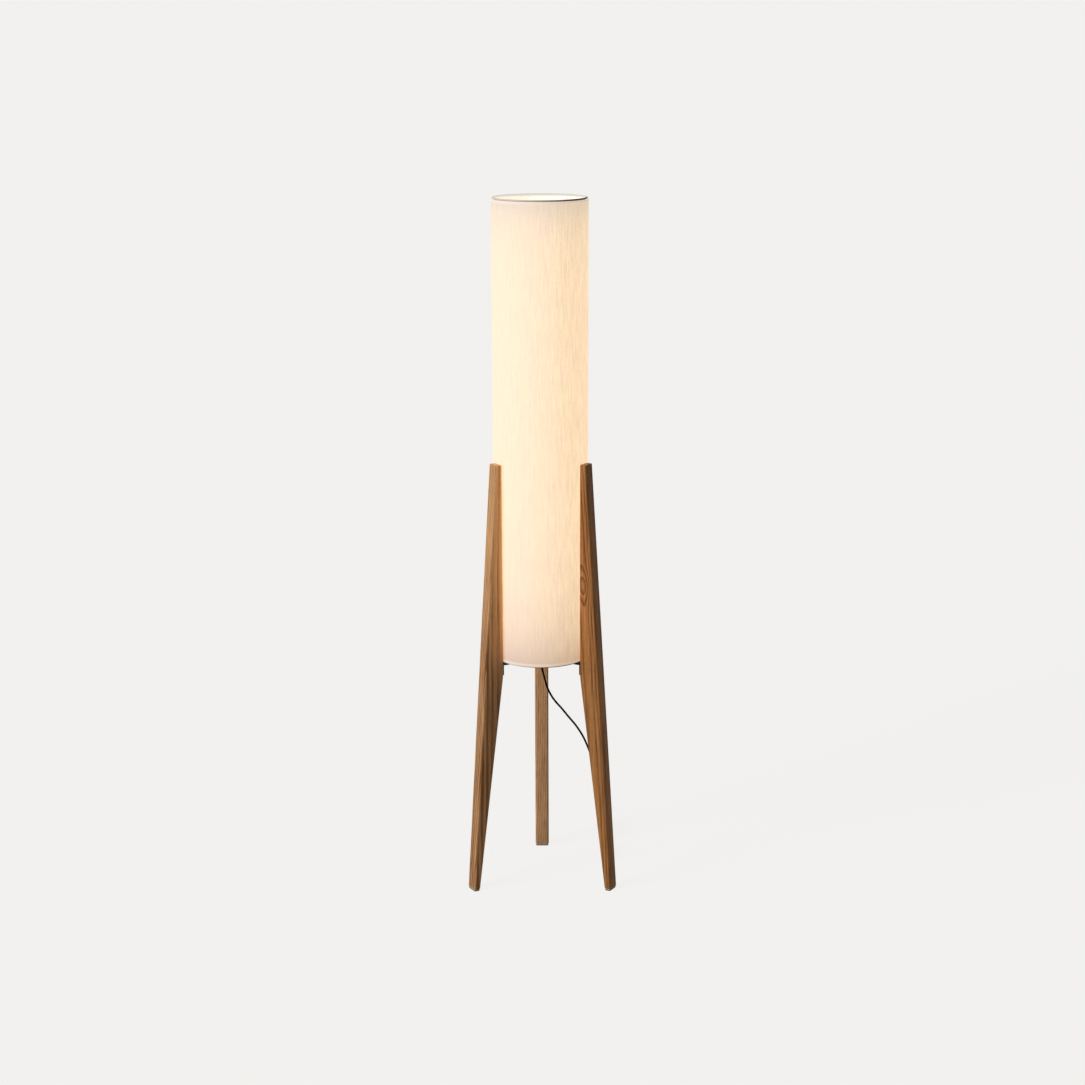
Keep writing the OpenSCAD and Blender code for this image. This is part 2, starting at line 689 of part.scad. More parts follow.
// The drop leaves the gland, turns right behind the right leg and comes down to the switch
drop_route = [[0, 0, cord_top], [0, 0, 492], [0, 0, 478], [2, 0, 469], [5, 0, 457], [9, 0, 441],
              [14, 0, 426], [22, 0, 410], [32, 0, 396], [44, 0, 382], [58, 0, 364], [75, 2, 342],
              [90, 6, 316], [102, 12, 286], [113, 20, 250], [122, 28, 210], [130, 35, 168],
              [137, 42, 125], [142, 48, 84], [145, 53, 52], [147, 59, 29], [148, 67, 14],
              [switch_x, switch_front - 4, switch_cord_z],
              [switch_x, switch_front + boot_bore, switch_cord_z]];
// From the switch to the hank's lowest loop
link_route = [[switch_x, switch_back - boot_bore, switch_cord_z], [switch_x, switch_back + 2, switch_cord_z],
              [switch_x + 0.4, switch_back + 8, 6.8], [switch_x + 2.1, switch_back + 14, 6.3],
              [switch_x + 5.3, switch_back + 20, 5.2], [switch_x + 8.4, switch_back + 26, 4.1],
              [switch_x + 10.1, switch_back + 32, 3.6], [hank_x + loop_r, hank_front - 3, hank_z],
              [hank_x + loop_r, hank_front, hank_z]];
// From the hank's highest loop down to the plug
tail_route = [[hank_x + loop_r, hank_back, tail_z], [hank_x + loop_r, hank_back + 3, tail_z],
              [plug_x + 11.9, hank_back + 9, 22.3], [plug_x + 10.1, hank_back + 15, 20],
              [plug_x + 6.3, hank_back + 21, 14.9], [plug_x + 2.4, hank_back + 27, 9.9],
              [plug_x + 0.5, hank_back + 33, 7.6], [plug_x, plug_front - 3, plug_z],
              [plug_x, plug_front + boot_bore, plug_z]];
ring_step = 3 * cord_d;
drop_line = curve(drop_route, ring_step);
link_line = curve(link_route, ring_step);
tail_line = curve(tail_route, ring_step);
echo(rings_of_the_free_cord = len(drop_line) + len(link_line) + len(tail_line));
echo(length_of_the_free_cord = line_length(drop_line) + line_length(link_line) + line_length(tail_line));

module cord_drop() color("#171615") on_axis() skin(tube_rings(drop_line, cord_d, 8, [1, 0, 0]));
module cord_link() color("#171615") on_axis() skin(tube_rings(link_line, cord_d, 8, [0, 0, 1]));
module cord_tail() color("#171615") on_axis() skin(tube_rings(tail_line, cord_d, 8, [0, 0, 1]));

// ---------- cord switch ----------

module at_switch() on_axis() translate([switch_x, switch_y, 0]) children();
module at_posts() for (s = [-1, 1]) translate([s * post_x, s * post_y, 0]) children();
module cord_holes() for (s = [0, 180]) rotate(s) translate([0, switch_l / 2 - shell_t - cut, switch_cord_z])
    rotate([-90, 0, 0]) cylinder(d = boot_neck_d + seat, h = shell_t + 2 * cut);

module switch_base() color("#1c1b1a") at_switch() difference() {
    union() {
        difference() {
            linear_extrude(switch_base_h) rounded_rect(switch_w, switch_l, shell_r);
            translate([0, 0, shell_t]) linear_extrude(switch_base_h)
                rounded_rect(switch_w - 2 * shell_t, switch_l - 2 * shell_t, shell_r - shell_t);
        }
        at_posts() cylinder(d = post_d, h = switch_base_h, $fn = 32);
        cylinder(d = spring_d - 2 * spring_wire - 2 * seat, h = 2 * shell_t, $fn = 32);
    }
    at_posts() translate([0, 0, -cut]) {
        cylinder(d = tiny_head_d + seat, h = tiny_head_h + seat + cut, $fn = 32);
        cylinder(d = tiny_screw_d + seat, h = switch_base_h + 2 * cut, $fn = 32);
    }
    cord_holes();
}

module switch_cover() color("#1c1b1a") at_switch() difference() {
    union() {
        difference() {
            translate([0, 0, switch_base_h]) linear_extrude(switch_cover_h)
                rounded_rect(switch_w, switch_l, shell_r);
            translate([0, 0, switch_base_h - cut]) linear_extrude(switch_cover_h - shell_t + cut)
                rounded_rect(switch_w - 2 * shell_t, switch_l - 2 * shell_t, shell_r - shell_t);
        }
        at_posts() translate([0, 0, switch_base_h]) cylinder(d = post_d, h = switch_cover_h - cut, $fn = 32);
    }
    at_posts() translate([0, 0, switch_base_h - cut])
        cylinder(d = tiny_screw_d + seat / 2, h = switch_cover_h - shell_t, $fn = 32);
    translate([0, 0, switch_base_h]) cylinder(d = button_d + 2 * slip, h = switch_cover_h + cut);
    cord_holes();
}

// Rubber sleeves that hold the cord in both ends of the switch
module switch_boots() color("#121212") at_switch() for (s = [0, 180])
    rotate(s) translate([0, switch_l / 2 + boot_out, switch_cord_z]) rotate([90, 0, 0])
        rotate_extrude() difference() {
            polygon([[0, 0], [boot_neck_d / 2, 0], [boot_neck_d / 2 + 1, boot_out],
                     [boot_neck_d / 2, boot_out], [boot_neck_d / 2, boot_out + shell_t],
                     [boot_neck_d / 2 + 1, boot_out + shell_t], [boot_neck_d / 2 + 1, boot_out + shell_t + 1],
                     [0, boot_out + shell_t + 1]]);
            translate([-cut, -cut]) square([cord_d / 2 + slip / 2 + cut, boot_bore + cut]);
        }

module switch_button() color("#232221") at_switch() difference() {
    union() {
        translate([0, 0, button_low]) cylinder(d = button_d + 2 * button_flange, h = button_flange_t);
        translate([0, 0, button_low]) cylinder(d = button_d, h = button_top - button_low);
    }
    translate([0, 0, button_low - cut])
        cylinder(d = button_d - 2 * shell_t, h = button_roof - button_low + cut);
}

// Spring under the button, from the base's floor up to the button's roof
module switch_spring() color("#b9bcc0") at_switch()
    skin(tube_rings([for (k = [0 : spring_turns * 10])
        let (a = 36 * k, mid = (spring_d - spring_wire) / 2)
        [mid * cos(a), mid * sin(a), spring_low + (spring_high - spring_low) * k / spring_turns / 10]],
        spring_wire, 6, [0, 0, 1]));

module switch_contacts() color("#c79a4b") at_switch() for (s = [-1, 1])
    translate([s * contact_x - contact_w / 2, 0, shell_t]) {
        translate([0, -contact_l / 2, 0]) cube([contact_w, contact_l, contact_t]);
        translate([0, 2 * s, 0]) cube([contact_w, contact_t, contact_h]);
    }

module switch_screws() color("#8f9194") at_switch() at_posts() translate([0, 0, tiny_head_h])
    rotate([180, 0, 0]) screw(tiny_screw_d, switch_base_h, tiny_head_d, tiny_head_h - seat);

// Two wires at each end, from the cord down to the contacts
module switch_leads() color("#6b4a2b") at_switch() for (e = [0, 180], s = [-1, 1]) rotate(e)
    skin(tube_rings(curve([[s, lead_y, switch_cord_z], [1.4 * s, lead_y - 4, switch_cord_z - 0.5],
                           [contact_x * s, 15, 4], [contact_x * s, 10, shell_t + contact_t + 0.9]], 3),
                    thin_wire_d, 8, [1, 0, 0.2]));

// ---------- plug ----------

module at_plug() on_axis() translate([plug_x, plug_front, plug_z]) children();

// A flattened round outline across the plug, at a place along it
function plug_ring(y, w, h) = [for (a = [0 : 10 : 350])
    [w / 2 * sign(sin(a)) * pow(abs(sin(a)), 0.7), y, h / 2 * sign(cos(a)) * pow(abs(cos(a)), 0.7)]];

module plug_body() color("#171615") at_plug() translate([0, boot_l, 0]) difference() {
    skin([plug_ring(0, 0.4 * plug_w, 0.8 * plug_h), plug_ring(0.15 * plug_l, 0.56 * plug_w, 0.88 * plug_h),
          plug_ring(0.4 * plug_l, 0.84 * plug_w, 0.97 * plug_h), plug_ring(0.6 * plug_l, plug_w, plug_h),
          plug_ring(plug_l - 1, plug_w, plug_h), plug_ring(plug_l, plug_w - 2, plug_h - 2)]);
    for (s = [-1, 1]) translate([s * pin_pitch / 2, plug_l - pin_root, 0]) rotate([-90, 0, 0])
        cylinder(d = core_d + seat, h = pin_root + cut);
}

// Ribbed sleeve where the cord enters the plug
module plug_boot() color("#121212") at_plug() rotate([-90, 0, 0]) difference() {
    union() {
        cylinder(d1 = cord_d + 2, d2 = cord_d + 4, h = boot_l);
        for (k = [0 : 4]) translate([0, 0, 1 + k * boot_l / 5]) cylinder(d = cord_d + 3.4 + k * 0.5, h = 1.8);
    }
    translate([0, 0, -cut]) cylinder(d = cord_d + slip, h = boot_bore + cut);
}

module at_pins() at_plug() for (s = [-1, 1])
    translate([s * pin_pitch / 2, boot_l + plug_l - pin_root, 0]) rotate([-90, 0, 0]) children();

module plug_pins() color("#c9ccd0") at_pins() {
    cylinder(d = core_d, h = pin_root + sleeve_l + cut);
    translate([0, 0, pin_root + sleeve_l]) cylinder(d = pin_d, h = pin_l - sleeve_l - tip_h);
    translate([0, 0, pin_root + pin_l - tip_h]) cylinder(d1 = pin_d, d2 = pin_d - 2 * tip_chamfer, h = tip_h);
}

// Insulating sleeves on the pins, flush with their bare ends
module plug_sleeves() color("#171615") at_pins()
    tube_shape(pin_d / 2, pin_d / 2 - sleeve_wall, pin_root, sleeve_l);

leg_left();
leg_right();
leg_rear();
pad_left();
pad_right();
pad_rear();
pad_backings();
leg_inserts();
leg_screws();
base_frame();
bottom_ring();
top_ring();
shade_cloth();
shade_liner();
shade_seam();
bottom_hem();
top_hem();
shade_pads();
driver_can();
can_screws();
driver_board();
board_standoffs();
board_screws();
driver_parts();
terminal_block();
mains_leads();
led_leads();
column_flange();
flange_screws();
column_profile();
led_strips();
column_plug();
tube_cap();
cap_screw();
diffuser_tube();
cord_gland();
gland_nut();
cord_drop();
cord_link();
cord_hank();
cord_tail();
cord_tie();
switch_base();
switch_cover();
switch_boots();
switch_button();
switch_spring();
switch_contacts();
switch_screws();
switch_leads();
plug_body();
plug_boot();
plug_pins();
plug_sleeves();
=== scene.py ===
from math import asin, ceil, copysign, cos, pi, radians, sin

import bmesh
import bpy
from mathutils import Matrix, Vector


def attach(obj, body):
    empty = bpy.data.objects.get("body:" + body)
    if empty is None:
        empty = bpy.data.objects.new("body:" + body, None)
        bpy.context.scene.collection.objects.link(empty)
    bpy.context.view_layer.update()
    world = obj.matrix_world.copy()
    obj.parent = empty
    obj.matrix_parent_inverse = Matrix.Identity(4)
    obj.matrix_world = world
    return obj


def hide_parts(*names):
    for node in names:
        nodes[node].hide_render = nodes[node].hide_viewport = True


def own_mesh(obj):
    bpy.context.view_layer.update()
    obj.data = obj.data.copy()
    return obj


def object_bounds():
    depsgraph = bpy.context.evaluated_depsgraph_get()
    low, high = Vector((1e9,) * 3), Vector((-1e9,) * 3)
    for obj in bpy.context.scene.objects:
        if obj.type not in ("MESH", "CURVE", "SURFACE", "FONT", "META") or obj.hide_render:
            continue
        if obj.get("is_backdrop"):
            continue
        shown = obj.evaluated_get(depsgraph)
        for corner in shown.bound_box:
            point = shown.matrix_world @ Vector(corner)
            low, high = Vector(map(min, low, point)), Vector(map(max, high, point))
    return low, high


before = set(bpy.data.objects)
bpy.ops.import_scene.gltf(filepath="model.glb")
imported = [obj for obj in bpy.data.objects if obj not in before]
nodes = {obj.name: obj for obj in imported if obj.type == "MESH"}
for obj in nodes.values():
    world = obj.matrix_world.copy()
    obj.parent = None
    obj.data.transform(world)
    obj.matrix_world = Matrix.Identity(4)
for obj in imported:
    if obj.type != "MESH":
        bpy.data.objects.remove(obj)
cad_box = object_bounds()
scene = bpy.context.scene

# ---- Camera ----
# It stands 4.3 m in front of the lamp, at about eye height, and looks a little down on it.
# The lens and the small shift and roll are the photograph's own.
axis_y = -0.038005
photo_px, focal_px, distance, eye_h, look_down, roll = 1085, 2081, 4.301, 1.790, 13.58, -0.22
camera = bpy.data.objects.new("camera", bpy.data.cameras.new("camera"))
scene.collection.objects.link(camera)
scene.camera = camera
camera.data.sensor_width = 36
camera.data.lens = focal_px / photo_px * 36
camera.data.shift_x = 0.0013
camera.data.shift_y = 0.0007
camera.rotation_euler = (Matrix.Rotation(radians(90 - look_down), 4, "X")
                         @ Matrix.Rotation(radians(roll), 4, "Z")).to_euler()
camera.location = (0, axis_y - distance, eye_h)


# ---- Cord ----
# Round black mains cord, 4.4 mm thick, with a smooth soft sheath. It leaves the gland under the hub,
# hangs over to the back of the right leg and runs down behind it to the push switch on the floor.
# From there the spare length lies in a tied hank of four loops that ends in the plug.
cord_d = 0.0044
boot_bore, spare_gap = 0.004, 0.042
switch_x, switch_y, switch_l, boot_out, switch_cord_z = 0.149, 0.119, 0.058, 0.006, 0.007
switch_front = switch_y - switch_l / 2 - boot_out
switch_back = switch_y + switch_l / 2 + boot_out
plug_x, plug_z, boot_l, plug_l = 0.147, 0.007, 0.016, 0.034
run_l, loop_r, layer_step, waist_in, layers = 0.088, 0.0135, 0.0049, 0.003, 4
hank_x, hank_z, lead_l = 0.146, 0.0036, 0.012
hank_half = run_l / 2
hank_front = switch_back + spare_gap
hank_y = hank_front + lead_l + hank_half
hank_back = hank_y + hank_half + lead_l
plug_front = hank_back + spare_gap
arc_share = pi * loop_r / (2 * run_l + 2 * pi * loop_r)
run_share = 0.5 - arc_share
lead_span = run_share / 2


def ease(x):
    x = min(1.0, max(0.0, x))
    return x * x * (3 - 2 * x)


def loop_z(t):
    """Each turn rises by one step, within the run on the far side from the leads."""
    return hank_z + layer_step * sum(ease((t - k - 0.5) / run_share + 0.5) for k in range(layers))


def loop_point(t):
    """A place on the hank at turn t: half a run, a fold, a whole run, a fold and half a run."""
    r, z, half = loop_r, loop_z(t), run_share / 2
    u = t if t < 0 else t - layers if t >= layers else t % 1
    if half < u < half + arc_share:
        a = (u - half) / arc_share * pi
        x, y = r * cos(a), hank_half + r * sin(a)
    elif 1 - half - arc_share < u < 1 - half:
        a = pi + (u - 1 + half + arc_share) / arc_share * pi
        x, y = r * cos(a), -hank_half + r * sin(a)
    else:
        side = -1 if half < u < 1 - half else 1
        y = ((0.5 - u) if side < 0 else u if u <= half else u - 1) / half * hank_half
        x = side * (r - waist_in * (0.5 + 0.5 * cos(pi * min(1, abs(y) / hank_half))))
    return Vector((hank_x + x, axis_y + hank_y + y, z))


def smooth_line(points, step):
    """A smooth curve through points given from the lamp's axis, in the lamp's own frame."""
    line = [Vector((x, y + axis_y, z)) for x, y, z in points]
    fine = []
    for i in range(len(line) - 1):
        q, r = line[i], line[i + 1]
        p = 2 * q - r if i == 0 else line[i - 1]
        s = 2 * r - q if i == len(line) - 2 else line[i + 2]
        count = max(1, ceil((r - q).length / step))
        for k in range(count):
            t = k / count
            fine.append(0.5 * (2 * q + t * (r - p) + t * t * (2 * p - 5 * q + 4 * r - s)
                               + t ** 3 * (3 * q - 3 * r + s - p)))
    return fine + [line[-1]]


drop_route = [(x / 1000, y / 1000, z / 1000) for x, y, z in (
    (0, 0, 492), (0, 0, 478), (2, 0, 469), (5, 0, 457), (9, 0, 441), (14, 0, 426), (22, 0, 410),
    (32, 0, 396), (44, 0, 382), (58, 0, 364), (75, 2, 342), (90, 6, 316), (102, 12, 286), (113, 20, 250),
    (122, 28, 210), (130, 35, 168), (137, 42, 125), (142, 48, 84), (145, 53, 52), (147, 59, 29),
    (148, 67, 14))]
drop_route += [(switch_x, switch_front + y, switch_cord_z) for y in (-0.004, boot_bore)]
lead_x = hank_x + loop_r
tail_z = loop_z(layers)
link_route = [(switch_x + x, switch_back + y, z) for x, y, z in (
    (0, -boot_bore, switch_cord_z), (0, 0.002, switch_cord_z), (0.0004, 0.008, 0.0068),
    (0.0021, 0.014, 0.0063), (0.0053, 0.020, 0.0052), (0.0084, 0.026, 0.0041), (0.0101, 0.032, 0.0036))]
link_route += [(lead_x, hank_front + y, hank_z) for y in (-0.003, 0)]
tail_route = [(lead_x, hank_back + y, tail_z) for y in (0, 0.003)]
tail_route += [(plug_x + x, hank_back + y, z) for x, y, z in (
    (0.0119, 0.009, 0.0223), (0.0101, 0.015, 0.0200), (0.0063, 0.021, 0.0149), (0.0024, 0.027, 0.0099),
    (0.0005, 0.033, 0.0076))]
tail_route += [(plug_x, plug_front + y, plug_z) for y in (-0.003, boot_bore)]
turn_points = 88
hank_line = [loop_point(-lead_span + (layers + 2 * lead_span) * k / (turn_points * layers))
             for k in range(turn_points * layers + 1)]


class Value:
    """A node's output that can be reckoned with: each sign adds a Math node beside it."""

    def __init__(self, socket):
        self.socket = socket


class Outputs:
    """A node's outputs, by name or number."""

    def __init__(self, node):
        self.node = node

    def __getitem__(self, key):
        return Value(self.node.outputs[key])


def feed(tree, sockets, values):
    """Gives each socket a value or another node's output."""
    for key, value in values.items():
        if isinstance(value, Value):
            tree.links.new(value.socket, sockets[key])
        else:
            sockets[key].default_value = value


def place(tree, kind, values=None, **settings):
    """Adds a node with its settings and inputs, and gives its outputs."""
    node = tree.nodes.new(kind)
    for key, value in settings.items():
        setattr(node, key, value)
    feed(tree, node.inputs, values or {})
    return Outputs(node)


def maths(operation, a, b=0.0, clamp=False):
    tree = (a if isinstance(a, Value) else b).socket.id_data
    return place(tree, "ShaderNodeMath", {0: a, 1: b}, operation=operation, use_clamp=clamp)[0]


for sign, operation in (("add", "ADD"), ("sub", "SUBTRACT"), ("mul", "MULTIPLY"), ("truediv", "DIVIDE"),
                        ("pow", "POWER")):
    setattr(Value, f"__{sign}__", lambda a, b, operation=operation: maths(operation, a, b))
    setattr(Value, f"__r{sign}__", lambda a, b, operation=operation: maths(operation, b, a))


def mixed(tree, factor, low, high):
    return place(tree, "ShaderNodeMix", {0: factor, 6: low, 7: high}, data_type="RGBA")[2]


def scaled(tree, vector, factors):
    return place(tree, "ShaderNodeVectorMath", {0: vector, 1: factors}, operation="MULTIPLY")[0]


def noise(tree, vector, scale, detail, roughness=0.5):
    return place(tree, "ShaderNodeTexNoise", {"Vector": vector, "Scale": scale, "Detail": detail,
                                              "Roughness": roughness})["Fac"]


def start_group(name, inputs, outputs, kind="ShaderNodeTree"):
    """A node group. Each input is given by its value, or by its kind if it has none of its own."""
    group = bpy.data.node_groups.new(name, kind)
    for label, value in inputs.items():
        socket = (value if isinstance(value, str) else "Int" if isinstance(value, int)
                  else "Float" if isinstance(value, float) else "Vector" if len(value) == 3 else "Color")
        made = group.interface.new_socket(label, in_out="INPUT", socket_type="NodeSocket" + socket)
        if socket != value:
            made.default_value = value
    for label in outputs:
        socket = label if label in ("Color", "Geometry") else "Float"
        group.interface.new_socket(label, in_out="OUTPUT", socket_type="NodeSocket" + socket)
    return group, Outputs(group.nodes.new("NodeGroupInput")), group.nodes.new("NodeGroupOutput").inputs


def skin_texture_group():
    """Fine even texture of a moulded or rubbed surface: tone, roughness and height."""
    tree, given, out = start_group("moulded_skin", {
        "Vector": "Vector", "Grain Size": 0.0006, "Roughness": 0.5, "Unevenness": 0.1},
        ("Tone", "Roughness", "Height"))
    rubbed = (noise(tree, given["Vector"], 38.0, 3.0) - 0.5) * given["Unevenness"]
    feed(tree, out, {"Tone": 1.0 + rubbed,
                     "Roughness": maths("ADD", given["Roughness"], rubbed, clamp=True),
                     "Height": noise(tree, given["Vector"], 1.0 / given["Grain Size"], 2.0, 0.6)})
    return tree


moulded_skin = skin_texture_group()


def start_material(name):
    """A new material, its node tree and its Principled BSDF's inputs."""
    material = bpy.data.materials.new(name)
    material.use_nodes = True
    return material, material.node_tree, material.node_tree.nodes["Principled BSDF"].inputs


def object_place(tree):
    """A place in the lamp's own frame, in metres."""
    return place(tree, "ShaderNodeTexCoord")["Object"]


def bump(tree, height, depth):
    return place(tree, "ShaderNodeBump", {"Height": height, "Distance": depth, "Strength": 1.0})["Normal"]


def grouped(tree, group, values):
    return place(tree, "ShaderNodeGroup", values, node_tree=group)


def skin_on(tree, values):
    return grouped(tree, moulded_skin, {"Vector": object_place(tree), **values})


def apart(tree, vector):
    return place(tree, "ShaderNodeSeparateXYZ", {0: vector})


def tinted(colour, share=1.0):
    return (*(min(1, c * share) for c in colour), 1)


def moulded(name, colour, roughness, grain=0.0006, relief=0.00004, unevenness=0.12, metallic=0.0,
            specular=0.5):
    """A plastic, rubber, paint or plain metal finish with its own fine skin."""
    material, tree, shader = start_material(name)
    skin = skin_on(tree, {"Grain Size": grain, "Roughness": roughness, "Unevenness": unevenness})
    tone = maths("SUBTRACT", skin["Tone"], 0.5, clamp=True)
    feed(tree, shader, {
        "Base Color": mixed(tree, tone, tinted(colour, 0.55), tinted(colour, 1.45)),
        "Roughness": skin["Roughness"], "Normal": bump(tree, skin["Height"], relief),
        "Metallic": metallic, "Specular IOR Level": specular})
    return material


def dress(piece, material, node=None, body="lamp"):
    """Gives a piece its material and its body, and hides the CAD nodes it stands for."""
    if material is not None:
        piece.data.materials.clear()
        piece.data.materials.append(material)
    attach(piece, body)
    for name in ([node] if isinstance(node, str) else node or []):
        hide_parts(name)
    return piece


def finish_node(material, *names):
    """Gives shown CAD nodes their material."""
    for name in names:
        nodes[name].data.materials.clear()
        nodes[name].data.materials.append(material)


def cord_piece(name, line):
    """A round cord along a line of points."""
    curve = bpy.data.curves.new(name, "CURVE")
    curve.dimensions = "3D"
    spline = curve.splines.new("POLY")
    spline.points.add(len(line) - 1)
    for point, p in zip(spline.points, line):
        point.co = (*p, 1)
    curve.bevel_depth = cord_d / 2
    curve.bevel_resolution = 5
    curve.use_fill_caps = True
    piece = bpy.data.objects.new(name, curve)
    scene.collection.objects.link(piece)
    return piece


sheath = moulded("cord_sheath", (0.0025, 0.0022, 0.0022), 0.65, grain=0.0011, relief=0.00003,
                 specular=0.02)
drop_line = smooth_line(drop_route, 0.004)
spare_line = smooth_line(link_route, 0.003)[:-1] + hank_line + smooth_line(tail_route, 0.003)[1:]
cord_drop = dress(cord_piece("cord_from_gland", drop_line), sheath, "cord_drop")
cord_spare = dress(cord_piece("cord_to_plug", spare_line), sheath,
                   ["cord_link", "cord_hank", "cord_tail"])


# ---- Hank's tie ----
# Black hook-and-loop strap, 12 mm wide, wrapped once round the hank's waist and pressed onto itself.
# Its end laps over the top by a third of the strap.
tie_w, tie_t, tie_gap = 0.012, 0.0012, 0.0004
tie_half = loop_r - waist_in + cord_d / 2 + tie_gap
tie_top = tail_z + cord_d / 2 + 0.0002


def mesh_piece(name, shape, sharp=35):
    """A piece from a mesh or bmesh, smooth but for its sharp edges."""
    mesh = shape
    if isinstance(shape, bmesh.types.BMesh):
        mesh = bpy.data.meshes.new(name)
        bmesh.ops.recalc_face_normals(shape, faces=shape.faces)
        shape.to_mesh(mesh)
        shape.free()
    mesh.shade_smooth()
    mesh.set_sharp_from_angle(angle=radians(sharp))
    piece = bpy.data.objects.new(name, mesh)
    scene.collection.objects.link(piece)
    return piece


def skin_rings(bm, rings, ends=True):
    """Faces over a row of closed rings with as many points each."""
    rows = [[bm.verts.new(p) for p in ring] for ring in rings]
    count = len(rows[0])
    for low, high in zip(rows, rows[1:]):
        for j in range(count):
            bm.faces.new((low[j], low[(j + 1) % count], high[(j + 1) % count], high[j]))
    if ends:
        bm.faces.new(rows[0][::-1])
        bm.faces.new(rows[-1])


def ringed(name, *shapes, sharp=35):
    """A piece skinned over rows of closed rings, one row for each separate shape."""
    bm = bmesh.new()
    for rings in shapes:
        skin_rings(bm, rings)
    return mesh_piece(name, bm, sharp)


def corner_arcs(w, l, r, steps):
    """Points (x, y) round a rectangle of width w and length l with corners of radius r."""
    points = []
    for sx, sy, start in ((1, 1, 0), (-1, 1, 90), (-1, -1, 180), (1, -1, 270)):
        for k in range(steps + 1):
            a = radians(start + 90 * k / steps)
            points.append((sx * (w / 2 - r) + r * cos(a), sy * (l / 2 - r) + r * sin(a)))
    return points


def strap_ring(y, out):
    """The strap's outline across the hank, out from its inner face, with round corners."""
    middle = (tie_t + tie_top) / 2
    return [Vector((hank_x + x, axis_y + hank_y + y, middle + z)) for x, z in corner_arcs(
        2 * (tie_half + out), tie_top - tie_t + 2 * out, 0.0016 + out, 6)]


bm = bmesh.new()
edge, round_edge = tie_w / 2, 0.0004
rings = [strap_ring(y, out) for y, out in (
    (-edge, 0.0001), (-edge, tie_t - 0.0002), (-edge + round_edge, tie_t), (edge - round_edge, tie_t),
    (edge, tie_t - 0.0002), (edge, 0.0001))]
skin_rings(bm, rings + [rings[0]], ends=False)
bmesh.ops.remove_doubles(bm, verts=bm.verts, dist=1e-6)
lap = [(-0.002, 0.0), (-0.002, 0.0006), (0.0105, 0.0006), (0.0112, 0.0003), (0.0112, 0.0)]
skin_rings(bm, [[(hank_x + x, axis_y + hank_y + y, tie_top + tie_t + z) for x, z in lap]
                for y in (0.0005 - edge, edge - 0.0005)])
strap_cloth = moulded("strap_cloth", (0.014, 0.014, 0.015), 0.9, grain=0.0004, relief=0.0003,
                      unevenness=0.25, specular=0.2)
cord_tie = dress(mesh_piece("cord_strap", bm), strap_cloth, "cord_tie")


# ---- Push switch on the cord ----
# Two black moulded shells with rounded corners, screwed together from below. A round button stands
# out of the upper one, and rubber sleeves hold the cord at both ends.
switch_w, base_h, cover_h, shell_r = 0.026, 0.009, 0.009, 0.006
button_d, button_out = 0.014, 0.004
switch_h = base_h + cover_h


def rounded_outline(w, l, r, z, x=switch_x, y=switch_y, steps=8):
    return [Vector((x + dx, axis_y + y + dy, z)) for dx, dy in corner_arcs(w, l, r, steps)]


def shell_rings(steps):
    """Rings of a shell from (inset, height) steps."""
    return [rounded_outline(switch_w - 2 * d, switch_l - 2 * d, shell_r - d, z) for d, z in steps]


def turned(name, profile, centre, segments=48, sharp=35):
    """A turned piece about +Z from (radius, height) pairs; a radius of 0 closes it."""
    bm = bmesh.new()
    rows = []
    for r, z in profile:
        if r == 0:
            rows.append([bm.verts.new((centre[0], centre[1], z))])
        else:
            rows.append([bm.verts.new((centre[0] + r * cos(2 * pi * k / segments),
                                       centre[1] + r * sin(2 * pi * k / segments), z))
                         for k in range(segments)])
    for low, high in zip(rows, rows[1:]):
        for k in range(segments):
            n = (k + 1) % segments
            ring = [low[k % len(low)], low[n % len(low)], high[n % len(high)], high[k % len(high)]]
            bm.faces.new(list(dict.fromkeys(ring)))
    return mesh_piece(name, bm, sharp)


shell_plastic = moulded("switch_plastic", (0.022, 0.021, 0.020), 0.55, grain=0.0005, relief=0.00006)
button_plastic = moulded("button_plastic", (0.045, 0.042, 0.040), 0.38, grain=0.0008, relief=0.00002)
soft_rubber = moulded("soft_rubber", (0.016, 0.016, 0.016), 0.75, grain=0.0009, relief=0.00005,
                      unevenness=0.2, specular=0.3)
lower_rise = [(0.0014, 0), (0.0004, 0.0004), (0, 0.0014), (0, base_h - 0.0004), (0.0003, base_h - 0.0001),
              (0.0008, base_h)]
switch_base = dress(ringed("switch_lower_shell", shell_rings(lower_rise)), shell_plastic, "switch_base")
brow = 0.003
rise = [(0.0008, base_h), (0.0003, base_h + 0.0001), (0, base_h + 0.0004), (0, switch_h - brow)]
rise += [(brow * (1 - cos(radians(a))), switch_h - brow + brow * sin(radians(a)))
         for a in range(15, 76, 15)]
switch_cover = ringed("switch_upper_shell", shell_rings(rise) + [
    rounded_outline(switch_w - 2 * brow, switch_l - 2 * brow, shell_r - brow, switch_h)])
button_r, button_place = button_d / 2, (switch_x, axis_y + switch_y)
collar = turned("button_collar", [(button_r + r, switch_h + z) for r, z in (
    (0.0003, -0.002), (0.0003, 0.0003), (0.0006, 0.0006), (0.0012, 0.0006), (0.0018, -0.0003),
    (0.0018, -0.002), (0.0003, -0.002))], button_place)
dress(switch_cover, shell_plastic, "switch_cover")
dress(collar, shell_plastic)
top = switch_h + button_out
bore_r, roof = button_r - 0.0016, top - 0.0016
button = turned("push_button", [
    (0, roof), (bore_r, roof), (bore_r, switch_h - 0.0035), (button_r, switch_h - 0.0035),
    (button_r, top - 0.0012), (button_r - 0.0004, top - 0.0004), (button_r - 0.0012, top),
    (button_r - 0.0022, top), (button_r * 0.45, top - 0.0005), (0, top - 0.0007)], button_place)
dress(button, button_plastic, "switch_button", body="button")
finish_node(soft_rubber, "switch_boots")


